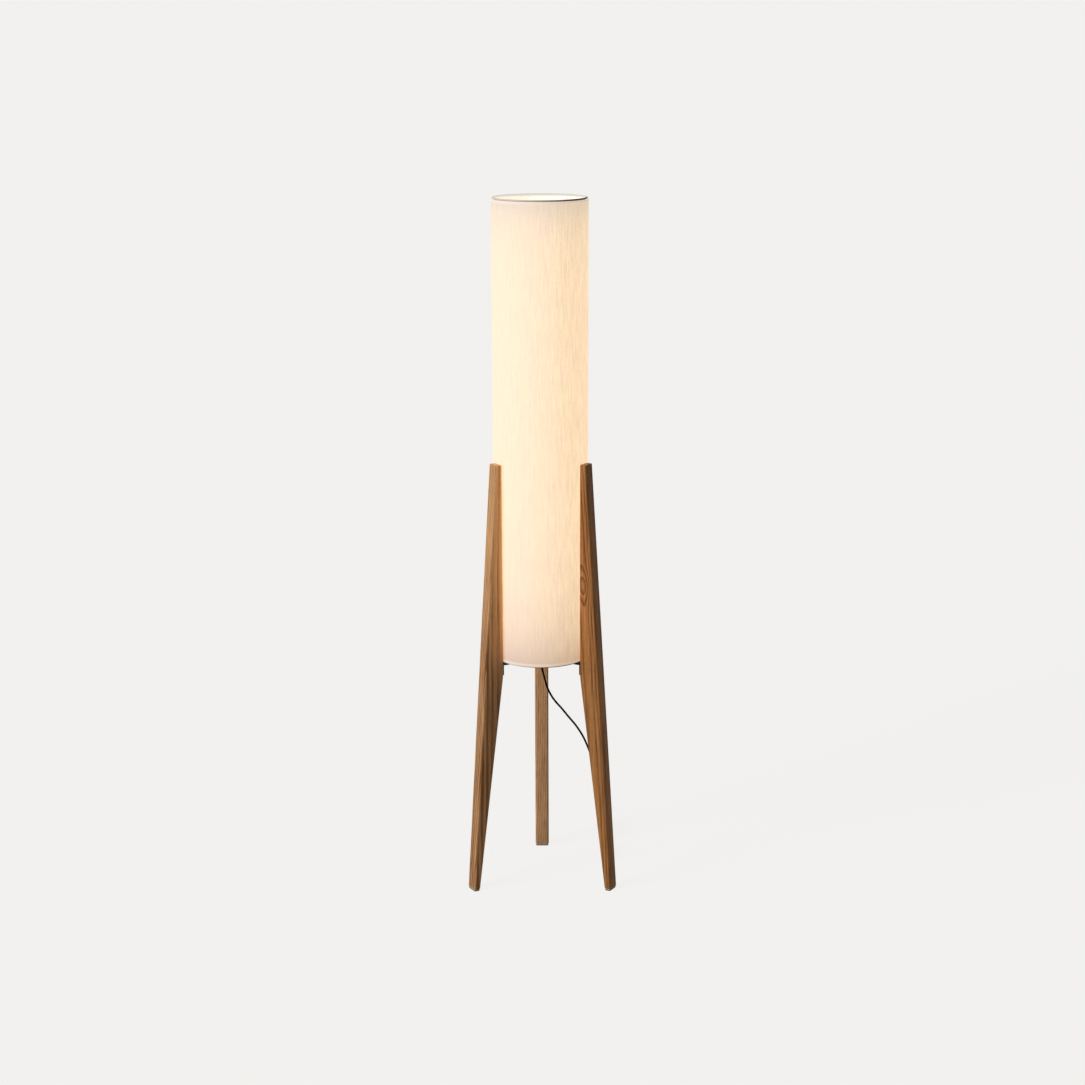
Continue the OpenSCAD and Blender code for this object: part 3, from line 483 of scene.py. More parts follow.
# ---- Screws ----
# Steel screws with a round head and a hex socket. They hold the legs, the can, the board, the
# column's flange and cap and the switch's shells. One tree makes each set of heads and shanks.
def bare_tree(name, inputs):
    """A tree that takes points and a finish besides the inputs given."""
    return start_group(name, {"Geometry": "Geometry", **inputs, "Finish": "Material"}, ("Geometry",),
                       "GeometryNodeTree")


def finish_tree(tree, given, out, shape, turn=None):
    """Sets the shape on the points. Every tree ends in Realize Instances and Set Material."""
    placed = place(tree, "GeometryNodeInstanceOnPoints", {
        "Points": given["Geometry"], "Instance": shape, **({"Rotation": turn} if turn else {})})
    real = place(tree, "GeometryNodeRealizeInstances", {"Geometry": placed[0]})
    painted = place(tree, "GeometryNodeSetMaterial", {"Geometry": real[0], "Material": given["Finish"]})
    feed(tree, out, {"Geometry": painted[0]})
    return tree


def xyz(tree, values):
    return place(tree, "ShaderNodeCombineXYZ", values)[0]


def joined(tree, parts):
    """Several shapes as one; the last part given comes first."""
    both = tree.nodes.new("GeometryNodeJoinGeometry")
    for part in parts:
        tree.links.new(part.socket, both.inputs[0])
    return Outputs(both)[0]


def turn_to_facing(tree, axis, **settings):
    """Turns an axis to the way each point faces."""
    facing = place(tree, "GeometryNodeInputNamedAttribute", {"Name": "facing"}, data_type="FLOAT_VECTOR")
    return place(tree, "FunctionNodeAlignRotationToVector", {"Vector": facing[0]}, axis=axis, **settings)[0]


def screw_tree():
    """A round head with a hex socket, and a shank under it."""
    tree, given, out = bare_tree("screw_set", {
        "Head Radius": 0.0035, "Head Height": 0.0024, "Shank Radius": 0.002, "Shank Length": 0.015,
        "Socket Radius": 0.0014})

    def post(radius, height, middle, sides):
        solid = place(tree, "GeometryNodeMeshCylinder", {
            "Vertices": sides, "Radius": radius, "Depth": height})
        return place(tree, "GeometryNodeTransform", {
            "Geometry": solid["Mesh"], "Translation": xyz(tree, {"Z": middle})})[0]

    head_h, shank_l = given["Head Height"], given["Shank Length"]
    head = post(given["Head Radius"], head_h, head_h * 0.5, 32)
    socket = post(given["Socket Radius"], head_h, head_h, 6)
    shank = post(given["Shank Radius"], shank_l, shank_l * -0.5, 20)
    cut = place(tree, "GeometryNodeMeshBoolean", {"Mesh 1": head, "Mesh 2": socket}, operation="DIFFERENCE")
    return finish_tree(tree, given, out, joined(tree, [cut[0], shank]), turn_to_facing(tree, "Z"))


def grow(name, tree, values, points=(), facing=(), sharp=35):
    """Runs a tree on a few points and keeps the result as a plain mesh piece."""
    seed = bpy.data.meshes.new(name + "_points")
    seed.from_pydata([tuple(p) for p in points], [], [])
    if facing:
        attribute = seed.attributes.new("facing", "FLOAT_VECTOR", "POINT")
        for item, f in zip(attribute.data, facing):
            item.vector = f
    holder = bpy.data.objects.new(name + "_points", seed)
    scene.collection.objects.link(holder)
    modifier = holder.modifiers.new("tree", "NODES")
    modifier.node_group = tree
    for item in tree.interface.items_tree:
        if getattr(item, "in_out", "") == "INPUT" and item.name in values:
            modifier[item.identifier] = values[item.name]
    evaluated = holder.evaluated_get(bpy.context.evaluated_depsgraph_get())
    mesh = bpy.data.meshes.new_from_object(evaluated)
    mesh.name = name
    bpy.data.objects.remove(holder)
    return mesh_piece(name, mesh, sharp)


def lamp_place(r, azimuth, z):
    a = radians(azimuth)
    return Vector((r * cos(a), axis_y + r * sin(a), z))


def outwards(azimuth, sign=1):
    a = radians(azimuth)
    return Vector((sign * cos(a), sign * sin(a), 0))


screw_set = screw_tree()
black_steel = moulded("black_powder_coat", (0.010, 0.009, 0.009), 0.62, grain=0.0009, relief=0.00007,
                      specular=0.15)
zinc = moulded("zinc_plate", (0.52, 0.53, 0.54), 0.32, grain=0.0012, relief=0.00001, metallic=1.0)
leg_azimuths = (210, 330, 90)
shade_z, shade_h, shade_r = 0.506, 0.972, 0.100
frame_top, frame_t = 0.504, 0.0035
frame_z = frame_top - frame_t
leg_in_r, tab_t, tab_h, screw_pitch = 0.101, 0.003, 0.024, 0.012
screw_heights = (frame_z - (tab_h - screw_pitch) / 2, frame_z - (tab_h - screw_pitch) / 2 - screw_pitch)


def screws(name, node, slot, material, places, facing, head_r, head_h, shank_r, shank_l):
    """A set of like screws at the places given, with their heads facing the ways given."""
    piece = grow(name, screw_set, {"Head Radius": head_r, "Head Height": head_h, "Shank Radius": shank_r,
                                   "Shank Length": shank_l, "Socket Radius": head_r * 0.42,
                                   "Finish": material}, places, facing)
    return dress(piece, material, node)


leg_screws = [(az, z) for az in leg_azimuths for z in screw_heights]
screws("leg_screw_set", "leg_screws", "black_steel", black_steel,
       [lamp_place(leg_in_r - tab_t, az, z) for az, z in leg_screws],
       [outwards(az, -1) for az, z in leg_screws], 0.0035, 0.0024, 0.002, 0.018)
can_top, plate_t = 0.548, 0.003
between = [az + 60 for az in leg_azimuths]
for name, radius, azimuths, z, up, sizes in (
        ("can", 0.03775, between, frame_z, -1, (0.00275, 0.002, 0.0015, 0.006)),
        ("flange", 0.02275, between, can_top + plate_t, 1, (0.00275, 0.002, 0.0015, 0.0065)),
        ("board", 0.02875, leg_azimuths, 0.5116, 1, (0.00225, 0.002, 0.00125, 0.0056))):
    screws(name + "_screw_set", name + "_screws", "zinc_screw", zinc,
           [lamp_place(radius, az, z) for az in azimuths], [(0, 0, up)] * 3, *sizes)
post_d, shell_t = 0.0056, 0.0016
post_x, post_y = switch_w / 2 - post_d / 2 - shell_t / 2, switch_l / 2 - shell_r - shell_t
screws("switch_screw_set", "switch_screws", "zinc_screw", zinc,
       [(switch_x + s * post_x, axis_y + switch_y + s * post_y, 0.0012) for s in (-1, 1)],
       [(0, 0, -1)] * 2, 0.0019, 0.0010, 0.001, 0.009)


# ---- Switch's spring ----
# Coil spring of 0.8 mm wire that stands on the lower shell and presses up inside the hollow button.
# The real spring shortens by the button's travel; this one is drawn at its full length.
def coil_tree():
    """A round wire wound up from the point given."""
    tree, given, out = bare_tree("coil_spring", {
        "Turns": 6.0, "Radius": 0.0036, "Height": 0.0176, "Wire Radius": 0.0004})
    coil = place(tree, "GeometryNodeCurveSpiral", {
        "Resolution": 24, "Rotations": given["Turns"], "Start Radius": given["Radius"],
        "End Radius": given["Radius"], "Height": given["Height"]})
    wire = place(tree, "GeometryNodeCurvePrimitiveCircle", {"Resolution": 10, "Radius": given["Wire Radius"]})
    solid = place(tree, "GeometryNodeCurveToMesh", {
        "Curve": coil[0], "Profile Curve": wire[0], "Fill Caps": True})
    return finish_tree(tree, given, out, solid[0])


spring_foot, spring_head, spring_wire_d, travel = 0.0018, 0.0202, 0.0008, 0.0025
spring_wire = moulded("spring_wire", (0.55, 0.55, 0.56), 0.25, grain=0.0015, relief=0.000005,
                      metallic=1.0)
spring_h = spring_head - spring_foot
spring = grow("switch_coil_spring", coil_tree(), {
    "Turns": 6.0, "Radius": 0.0036, "Height": spring_h - spring_wire_d, "Wire Radius": spring_wire_d / 2,
    "Finish": spring_wire}, [(*button_place, spring_foot + spring_wire_d / 2)])
dress(spring, spring_wire, "switch_spring")
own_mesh(spring)


# ---- Plug ----
# Flat two-pin plug, moulded in one with its ribbed sleeve. The pins are nickel-plated, 4 mm thick,
# and sleeved in black plastic over their inner half.
plug_w, plug_h = 0.035, 0.014


def plug_ring(y, w, h, count=48):
    points = []
    for k in range(count):
        a = 2 * pi * k / count
        s, c = sin(a), cos(a)
        points.append(Vector((plug_x + w / 2 * copysign(abs(s) ** 0.7, s),
                              axis_y + plug_front + boot_l + y,
                              plug_z + h / 2 * copysign(abs(c) ** 0.7, c))))
    return points


def plug_width(u):
    """The body's width and height as shares of its face, at a share u of its length."""
    s = ease(u / 0.62)
    return 0.40 + 0.60 * s, 0.80 + 0.20 * s


rings = [plug_ring(0, 0.34 * plug_w, 0.70 * plug_h)]
rings += [plug_ring(plug_l * u, plug_width(u)[0] * plug_w, plug_width(u)[1] * plug_h)
          for u in [0.03 + 0.92 * k / 18 for k in range(19)]]
rings += [plug_ring(plug_l - 0.0008, plug_w - 0.0002, plug_h - 0.0002),
          plug_ring(plug_l - 0.0003, plug_w - 0.0008, plug_h - 0.0008),
          plug_ring(plug_l, plug_w - 0.002, plug_h - 0.002)]
plug_plastic = moulded("plug_plastic", (0.020, 0.019, 0.018), 0.5, grain=0.0006, relief=0.00005)
plug_body = dress(ringed("plug_shell", rings), plug_plastic, "plug_body")
nickel = moulded("nickel_plate", (0.72, 0.70, 0.66), 0.22, grain=0.002, relief=0.000006, metallic=1.0)
finish_node(nickel, "plug_pins")
finish_node(plug_plastic, "plug_sleeves")


def rib_tree():
    """Rings set along +Y that widen towards the plug, on a tapered sleeve."""
    tree, given, out = bare_tree("ribbed_sleeve", {
        "Length": 0.016, "Ribs": 6, "Start Radius": 0.0037, "End Radius": 0.0047, "Rib Radius": 0.0008})
    start, end = given["Start Radius"], given["End Radius"]
    step = given["Length"] / given["Ribs"]
    line = place(tree, "GeometryNodeMeshLine", {
        "Count": given["Ribs"], "Start Location": xyz(tree, {"Y": step * 0.45}),
        "Offset": xyz(tree, {"Y": step})}, mode="OFFSET")
    hoop = place(tree, "GeometryNodeCurvePrimitiveCircle", {"Resolution": 40, "Radius": 1.0})
    band = place(tree, "GeometryNodeCurvePrimitiveCircle", {"Resolution": 10, "Radius": given["Rib Radius"]})
    wide = start + place(tree, "GeometryNodeInputIndex")[0] / given["Ribs"] * (end - start)
    circles = place(tree, "GeometryNodeInstanceOnPoints", {
        "Points": line[0], "Instance": hoop[0], "Rotation": (pi / 2, 0, 0),
        "Scale": xyz(tree, {"X": wide, "Y": wide, "Z": wide})})
    real = place(tree, "GeometryNodeRealizeInstances", {"Geometry": circles[0]})
    ribs = place(tree, "GeometryNodeCurveToMesh", {"Curve": real[0], "Profile Curve": band[0]})
    core = place(tree, "GeometryNodeMeshCone", {
        "Vertices": 40, "Radius Top": end, "Radius Bottom": start, "Depth": given["Length"]})
    laid = place(tree, "GeometryNodeTransform", {"Geometry": core["Mesh"], "Rotation": (-pi / 2, 0, 0)})
    return finish_tree(tree, given, out, joined(tree, [ribs[0], laid[0]]))


plug_boot = grow("plug_sleeve", rib_tree(), {
    "Length": boot_l, "Ribs": 6, "Start Radius": 0.0031, "End Radius": 0.0042, "Rib Radius": 0.0009,
    "Finish": soft_rubber}, [(plug_x, axis_y + plug_front, plug_z)])
dress(plug_boot, soft_rubber, "plug_boot")


# ---- Gland ----
# Black moulded gland in the middle of the hub, with its hexagon, its tapered cap and its nut above.
finish_node(shell_plastic, "cord_gland", "gland_nut")


# ---- Base frame ----
# Cut from 3.5 mm steel plate and powder-coated black: a hub, three arms with an end plate each, and
# a tab bent down behind each end plate, to which the leg is screwed. The shade stands on it.
finish_node(black_steel, "base_frame")
brass = moulded("turned_brass", (0.60, 0.42, 0.16), 0.3, grain=0.0015, relief=0.00001, metallic=1.0)
finish_node(brass, "leg_inserts")


# ---- Legs ----
# Solid oiled wood, walnut brown, sawn flat and planed, with softened long edges. Each tapers a little
# towards its flat top and has a knee under the shade, below which its inner face runs outwards.
leg_top_z, leg_w, leg_top_depth, foot_depth, foot_reach, leg_edge_r = 0.933, 0.030, 0.015, 0.015, 0.178, 0.004
knee_z, knee_blend, foot_z = shade_z - 0.028, 0.015, 0.0038
foot_in_r = foot_reach - foot_depth


def below_knee(z):
    drop = knee_z - z
    if drop <= -knee_blend:
        return 0
    return drop if drop >= knee_blend else (drop + knee_blend) ** 2 / (4 * knee_blend)


def leg_ring(azimuth, z, inset):
    low = leg_in_r + (foot_in_r - leg_in_r) * below_knee(z) / (knee_z - foot_z) + inset
    high = (leg_in_r + leg_top_depth + (foot_reach - leg_in_r - leg_top_depth)
            * (leg_top_z - z) / (leg_top_z - foot_z)) - inset
    half, r = leg_w / 2 - inset, leg_edge_r - inset / 2
    turn = Matrix.Rotation(radians(azimuth), 3, "Z")
    return [turn @ Vector(((low + high) / 2 + x, y, z)) + Vector((0, axis_y, 0))
            for x, y in corner_arcs(high - low, 2 * half, r, 6)]


def oiled_grain_group():
    """Sawn wood: growth rings about a pith line, long fibres and short dark pores.

    The pith lies at a place across the leg and leans along it. The figure is a swelling of the rings
    at one height, which shows as nested loops on a sawn face."""
    tree, given, out = start_group("oiled_grain", {
        "Vector": "Vector", "Pith": (0.1, 0.1, 0.0), "Lean": 0.01, "Ring Pitch": 0.0034,
        "Figure Height": 0.5, "Figure Length": 0.06, "Figure Width": 0.016, "Figure Swell": 0.0,
        "Lower Tone": 0.0, "Upper Tone": 0.0, "Light Wood": (0.62, 0.34, 0.14, 1.0),
        "Dark Wood": (0.22, 0.095, 0.030, 1.0), "Contrast": 1.0}, ("Color", "Roughness", "Height"))

    def along(stretch, scale, detail, roughness=0.55):
        """Noise drawn out along the leg."""
        return noise(tree, scaled(tree, given["Vector"], (1.0, 1.0, stretch)), scale, detail, roughness)

    def ramp(value, low, high, start=0.0, end=1.0):
        return place(tree, "ShaderNodeMapRange", {
            "Value": value, "From Min": low, "From Max": high, "To Min": start, "To Max": end},
            interpolation_type="SMOOTHSTEP")[0]

    off = place(tree, "ShaderNodeVectorMath", {0: given["Vector"], 1: given["Pith"]}, operation="SUBTRACT")
    parts = apart(tree, off[0])
    height = apart(tree, given["Vector"])[2]
    sway = (along(0.10, 34.0, 2.0) - 0.5) * 0.010
    across = parts[0] + sway + height * given["Lean"]
    radius = maths("SQRT", across ** 2.0 + parts[1] ** 2.0)
    rise = (height - given["Figure Height"]) / given["Figure Length"]
    aside = across / given["Figure Width"]
    swell = given["Figure Swell"] * maths("EXPONENT", (rise ** 2.0 + aside ** 2.0) * -1.0)
    rings = maths("FRACT", (radius - swell) / given["Ring Pitch"])
    late = ramp(rings, 0.25, 0.9) * (1.0 - ramp(rings, 0.9, 1.0))
    fibres = along(0.020, 560.0, 4.0, 0.64)
    streaks = along(0.030, 210.0, 2.0)
    patches = along(0.14, 48.0, 2.0)
    pores = ramp(along(0.05, 1500.0, 1.0), 0.60, 0.72)
    tone = late * 0.50 + fibres * 0.50 + (streaks - 0.5) * 1.1 + (patches - 0.5) * 0.5
    tone = 0.45 + (tone - 0.42) * given["Contrast"]
    # The tone shifts with height from Lower Tone to Upper Tone, over the heights where the shade's glow falls
    # on the legs.
    tone = tone + ramp(height, 0.48, 0.80, given["Lower Tone"], given["Upper Tone"])
    tone = maths("ADD", tone, pores * 0.25, clamp=True)
    feed(tree, out, {"Color": mixed(tree, tone, given["Light Wood"], given["Dark Wood"]),
                     "Roughness": 0.44 + fibres * 0.22,
                     "Height": fibres * 0.5 - (pores + late * 0.25)})
    return tree


oiled_grain = oiled_grain_group()


def oiled_wood(name, azimuth, grain_values):
    """Wood for one leg: its grain follows the leg, with x outwards, y across and z along it."""
    material, tree, shader = start_material(name)
    turn = radians(-azimuth)
    middle = Matrix.Rotation(turn, 3, "Z") @ Vector((0, axis_y, 0))
    laid = place(tree, "ShaderNodeMapping", {
        "Vector": object_place(tree), "Location": (-middle.x, -middle.y, 0), "Rotation": (0, 0, turn)})
    grain = grouped(tree, oiled_grain, {"Vector": laid[0], **grain_values})
    feed(tree, shader, {"Base Color": grain["Color"], "Roughness": grain["Roughness"],
                        "Normal": bump(tree, grain["Height"], 0.00018), "Specular IOR Level": 0.15})
    return material


def spread(low, high, count):
    """Heights above low up to high, in equal steps."""
    return [low + (high - low) * k / count for k in range(1, count + 1)]


def leg(name, azimuth, node, grain_values):
    """One leg, skinned over its sections from the foot to the flat top."""
    foot_edge, top_edge = foot_z + 0.0012, leg_top_z - 0.0008
    bend_low, bend_high = knee_z - knee_blend, knee_z + knee_blend
    steps = [(foot_z, 0.0012), (foot_z + 0.0004, 0.0005), (foot_edge, 0)]
    steps += [(z, 0) for z in spread(foot_edge, bend_low, 8) + spread(bend_low, bend_high, 12)
              + spread(bend_high, top_edge, 8)]
    steps += [(leg_top_z - 0.0003, 0.0003), (leg_top_z, 0.0008)]
    piece = ringed(name, [leg_ring(azimuth, z, inset) for z, inset in steps], sharp=50)
    dress(piece, oiled_wood("walnut_" + name.split("_")[0], azimuth, grain_values), node)


# Lighter towards its top: partly lighter wood, partly painted light from the shade's glow.
leg("left_leg", 210, "leg_left", {
    "Pith": (0.06, -0.14, 0), "Lean": 0.012, "Ring Pitch": 0.0058, "Contrast": 1.15,
    "Light Wood": (0.62, 0.335, 0.150, 1), "Dark Wood": (0.19, 0.075, 0.022, 1),
    "Lower Tone": 0.12, "Upper Tone": -0.36})
# Darker towards its top: partly darker wood, partly painted shade that tempers the shade's glow on it.
leg("right_leg", 330, "leg_right", {
    "Pith": (0.1545, -0.0025, 0), "Lean": 0.0667, "Ring Pitch": 0.0057, "Contrast": 1.3,
    "Light Wood": (0.42, 0.182, 0.056, 1), "Dark Wood": (0.125, 0.046, 0.011, 1),
    "Lower Tone": -0.05, "Upper Tone": 0.20,
    "Figure Height": 0.675, "Figure Length": 0.032, "Figure Width": 0.018, "Figure Swell": 0.0105})
leg("back_leg", 90, "leg_rear", {
    "Pith": (0.10, 0.16, 0), "Lean": -0.01, "Ring Pitch": 0.005, "Contrast": 0.9,
    "Light Wood": (0.66, 0.38, 0.19, 1), "Dark Wood": (0.27, 0.13, 0.052, 1)})


# ---- Foot pads ----
# Dense dark felt, 3 mm thick, stuck under each foot on a thin pale plastic backing.
pad_t, pad_inset = 0.003, 0.001
pad_r = (foot_reach + foot_in_r) / 2
felt = moulded("dark_felt", (0.115, 0.078, 0.052), 0.95, grain=0.0005, relief=0.0004, unevenness=0.35,
               specular=0.15)
pale_plastic = moulded("pale_backing", (0.70, 0.66, 0.60), 0.5, grain=0.0007, relief=0.00002)


def pad_ring(azimuth, z, inset):
    out = 2 * (pad_inset + inset)
    w, l, r = foot_depth - out, leg_w - out, 0.003 - inset / 2
    turn = Matrix.Rotation(radians(azimuth), 3, "Z")
    ring = rounded_outline(w, l, r, z, x=0, y=-axis_y)
    return [turn @ (p + Vector((pad_r, 0, 0))) + Vector((0, axis_y, 0)) for p in ring]


for side, azimuth in (("left", 210), ("right", 330), ("rear", 90)):
    pad = ringed(f"{side}_felt_pad", [pad_ring(azimuth, z, d) for z, d in (
        (0, 0.0006), (0.0004, 0.0001), (0.0010, 0), (pad_t - 0.0008, 0), (pad_t - 0.0002, 0.0001),
        (pad_t, 0.0004))])
    dress(pad, felt, f"pad_{side}")
finish_node(pale_plastic, "pad_backings")


# ---- Shade's rings ----
# Two hoops of 4 mm steel wire in dark bronze lacquer. The cloth and its liner are stretched between
# them, and each shows about 3 mm past the cloth's edge. A painted highlight lightens the lacquer where
# it faces the key light, and a painted glow lights its faces turned to the lamp's axis.
def hoop_tree():
    """A level hoop about the lamp's axis with a rectangular, rounded section."""
    tree, given, out = bare_tree("hoop", {
        "Radius": 0.1, "Wall": 0.001, "Height": 0.005, "Rounding": 0.0002, "Segments": 192})
    circle = place(tree, "GeometryNodeCurvePrimitiveCircle", {
        "Resolution": given["Segments"], "Radius": given["Radius"]})
    section = place(tree, "GeometryNodeCurvePrimitiveQuadrilateral", {
        "Width": given["Wall"], "Height": given["Height"]})
    soft = place(tree, "GeometryNodeFilletCurve", {
        "Curve": section[0], "Radius": given["Rounding"], "Count": 5}, mode="POLY")
    solid = place(tree, "GeometryNodeCurveToMesh", {"Curve": circle[0], "Profile Curve": soft[0]})
    return finish_tree(tree, given, out, solid[0])


hoop = hoop_tree()


def hoop_piece(name, node, material, radius, wall, low, high, rounding, sharp=35):
    piece = grow(name, hoop, {"Radius": radius, "Wall": wall, "Height": high - low, "Rounding": rounding,
                              "Segments": 192, "Finish": material},
                 [(0, axis_y, (low + high) / 2)], sharp=sharp)
    return dress(piece, material, node)


wire_d, ring_show, cloth_t, liner_t, seat = 0.004, 0.002, 0.0008, 0.0006, 0.0002
shade_top = shade_z + shade_h
liner_r = shade_r - cloth_t - seat
ring_r = liner_r - liner_t - seat - wire_d / 2
wire_round = 0.975 * wire_d / 2
key_way = (0.742, 0.519, -0.423)
bronze = moulded("bronze_lacquer", (0.060, 0.048, 0.035), 0.55, grain=0.0012, relief=0.00001,
                 specular=0.15)
tree = bronze.node_tree


def from_axis(tree):
    """A place measured from the lamp's axis."""
    return place(tree, "ShaderNodeMapping", {"Vector": object_place(tree), "Location": (0, -axis_y, 0)})[0]


def turned_to(direction, low, high):
    """Grows from 0 to 1 as the surface turns to a direction."""
    facing = place(tree, "ShaderNodeVectorMath", {
        0: place(tree, "ShaderNodeNewGeometry")["Normal"], 1: direction}, operation="DOT_PRODUCT")["Value"]
    return place(tree, "ShaderNodeMapRange", {"Value": facing, "From Min": low, "From Max": high})[0]


# Painted light on the lacquer: a painted highlight where the ring faces the key light, and a painted glow on
# its faces turned to the lamp's axis, where the shade's inner light falls.
inwards = scaled(tree, from_axis(tree), (-10.0, -10.0, 0.0))
painted_highlight = mixed(tree, turned_to(tuple(-c for c in key_way), 0.05, 0.95), (0, 0, 0, 1), (0.62, 0.55, 0.46, 1))
feed(tree, tree.nodes["Principled BSDF"].inputs, {
    "Emission Color": mixed(tree, turned_to(inwards, 0.1, 0.6), painted_highlight, (0.66, 0.64, 0.60, 1)),
    "Emission Strength": 1.0})
for name, node, top in (("lower_wire_ring", "bottom_ring", frame_top + wire_d),
                        ("upper_wire_ring", "top_ring", shade_top + ring_show)):
    hoop_piece(name, node, bronze, ring_r, wire_d, top - wire_d, top, wire_round, sharp=60)


# ---- Shade's cloth and liner ----
# Off-white linen with upright slubs, glued to a stiff white liner and bent into a tube 200 mm across.
# The light column inside makes it glow evenly, and less over its last hand's width at both ends.
def linen_group():
    """Plain weave with thick-and-thin upright yarns about the lamp's axis."""
    tree, given, out = start_group("slub_linen", {
        "Vector": "Vector", "Yarns Round": 720.0, "Yarns a Metre": 1150.0, "Slub": 1.0},
        ("Tone", "Height"))
    parts = apart(tree, given["Vector"])

    def yarns(turns):
        return maths("ABSOLUTE", maths("SINE", turns))

    upright = yarns(maths("ARCTAN2", parts[1], parts[0]) * (given["Yarns Round"] * 0.5))
    level = yarns(parts[2] * (given["Yarns a Metre"] * pi))
    tall = scaled(tree, given["Vector"], (1.0, 1.0, 0.06))
    thick, fine = noise(tree, tall, 380.0, 2.0), noise(tree, tall, 1300.0, 1.0)
    cross = noise(tree, scaled(tree, given["Vector"], (0.25, 0.25, 1.0)), 400.0, 2.0)
    slub = ((thick - 0.5) * 2.4 + ((fine - 0.5) * 0.7 + (cross - 0.5) * 0.9)) * given["Slub"]
    feed(tree, out, {"Tone": maths("ADD", 0.5, slub, clamp=True), "Height": (upright + level) * 0.3 + slub})
    return tree


slub_linen = linen_group()
low_fade, high_fade, yarn_shade, thrown_light = 0.086, 0.050, 0.20, 2.4


def linen(name, dark, light, glow, low_glow, high_glow, slub=1.0):
    """Linen with the column's glow through it, which fades towards both ends of the shade."""
    material, tree, shader = start_material(name)
    weave = grouped(tree, slub_linen, {"Vector": from_axis(tree), "Slub": slub})
    height = apart(tree, object_place(tree))[2]

    def reach(distance, length):
        """Grows from 0 at an end of the shade towards 1 over the length given."""
        return maths("SUBTRACT", 1.0, maths("EXPONENT", distance * (-1 / length)), clamp=True)

    middle = mixed(tree, reach(height - shade_z, low_fade), tinted(low_glow), tinted(glow))
    lit = mixed(tree, reach(shade_top - height, high_fade), tinted(high_glow), middle)
    shaded = mixed(tree, weave["Tone"] * yarn_shade, lit, (0, 0, 0, 1))
    thrown = place(tree, "ShaderNodeVectorMath", {0: shaded, "Scale": thrown_light}, operation="SCALE")[0]
    seen = place(tree, "ShaderNodeLightPath")["Is Camera Ray"]
    feed(tree, shader, {
        "Base Color": mixed(tree, weave["Tone"], tinted(dark), tinted(light)),
        "Normal": bump(tree, weave["Height"], 0.00018), "Roughness": 0.9, "Specular IOR Level": 0.2,
        "Emission Color": mixed(tree, seen, thrown, shaded), "Emission Strength": 1.12})
    return material


shade_linen = linen("shade_linen", (0.195, 0.190, 0.235), (0.275, 0.270, 0.315), (0.92, 0.685, 0.428),
                    (0.52, 0.352, 0.210), (0.65, 0.530, 0.385))
# The liner has a painted glow of its own, which stands in for the column's light on its inner face.
liner_film, tree, shader = start_material("liner_film")
skin = skin_on(tree, {})
feed(tree, shader, {
    "Base Color": mixed(tree, skin["Height"], (0.38, 0.35, 0.295, 1), (0.44, 0.41, 0.35, 1)),
    "Roughness": skin["Roughness"], "Emission Color": (1.0, 0.92, 0.78, 1), "Emission Strength": 0.72})
cloth_low, cloth_high = shade_z + 0.0008, shade_top - 0.0016
cloth = hoop_piece("shade_linen_tube", "shade_cloth", shade_linen, shade_r - cloth_t / 2,
                   cloth_t, cloth_low, cloth_high, 0.0003)
hoop_piece("shade_liner_tube", "shade_liner", liner_film, liner_r - liner_t / 2, liner_t,
           cloth_low, cloth_high, 0.0001)


# ---- Hems and seam ----
# Linen tape, 5 mm wide, round both edges of the cloth, and the cloth's glued lap at the back.
hem_h, hem_t, seam_w = 0.005, 0.0004, 0.014
hem_r = shade_r + seat / 2 + hem_t / 2
hem_linen = linen("hem_linen", (0.34, 0.33, 0.34), (0.46, 0.45, 0.46), (0.60, 0.45, 0.32),
                  (0.50, 0.375, 0.275), (0.62, 0.48, 0.36), slub=0.6)
hems = [hoop_piece(name, node, hem_linen, hem_r, hem_t, low, low + hem_h, 0.00018)
        for name, node, low in (("lower_hem", "bottom_hem", cloth_low),
                                ("upper_hem", "top_hem", cloth_high - hem_h))]
seam_linen = linen("seam_linen", (0.24, 0.235, 0.26), (0.33, 0.325, 0.35), (0.75, 0.53, 0.315),
                   (0.44, 0.29, 0.165), (0.54, 0.43, 0.30))
span, columns = seam_w / shade_r, 16
low, high = cloth_low + hem_h + seat, cloth_high - hem_h - seat
rings = []
for k in range(columns + 1):
    a = pi / 2 + span * (k / columns - 0.5)
    thinned = 0.00025 * (1 - min(1, min(k, columns - k) / 1.5))
    inner, outer = shade_r + seat / 2, shade_r + seat / 2 + hem_t - thinned
    rings.append([Vector((r * cos(a), axis_y + r * sin(a), z))
                  for r, z in ((inner, low), (outer, low), (outer, high), (inner, high))])
seam = dress(ringed("shade_lap", rings), seam_linen, "shade_seam")


# ---- Pads between the shade and the legs ----
# Thin pale felt, glued to the inner face of each leg near its top, so that the shade can't rattle.
shade_pad_h, shade_pad_w, shade_pad_z = 0.060, 0.020, 0.853
pale_felt = moulded("pale_felt", (0.62, 0.55, 0.45), 0.95, grain=0.0005, relief=0.0003, unevenness=0.3,
                    specular=0.15)
pad_face = shade_r + seat / 2 + hem_t + seat / 2
shapes = []
for azimuth in leg_azimuths:
    turn = Matrix.Rotation(radians(azimuth), 3, "Z")
    rings = []
    for z, d in ((0, 0.0004), (0.0004, 0), (shade_pad_h - 0.0004, 0), (shade_pad_h, 0.0004)):
        half = shade_pad_w / 2 - d
        arc = [asin(half / pad_face) * k / 5 for k in range(-5, 6)]
        ring = [(leg_in_r, half), (leg_in_r, -half)] + [(pad_face * cos(a), pad_face * sin(a)) for a in arc]
        rings.append([turn @ Vector((x, y, shade_pad_z + z)) + Vector((0, axis_y, 0)) for x, y in ring])
    shapes.append(rings)
shade_pads = dress(ringed("shade_felt_pads", *shapes), pale_felt, "shade_pads")


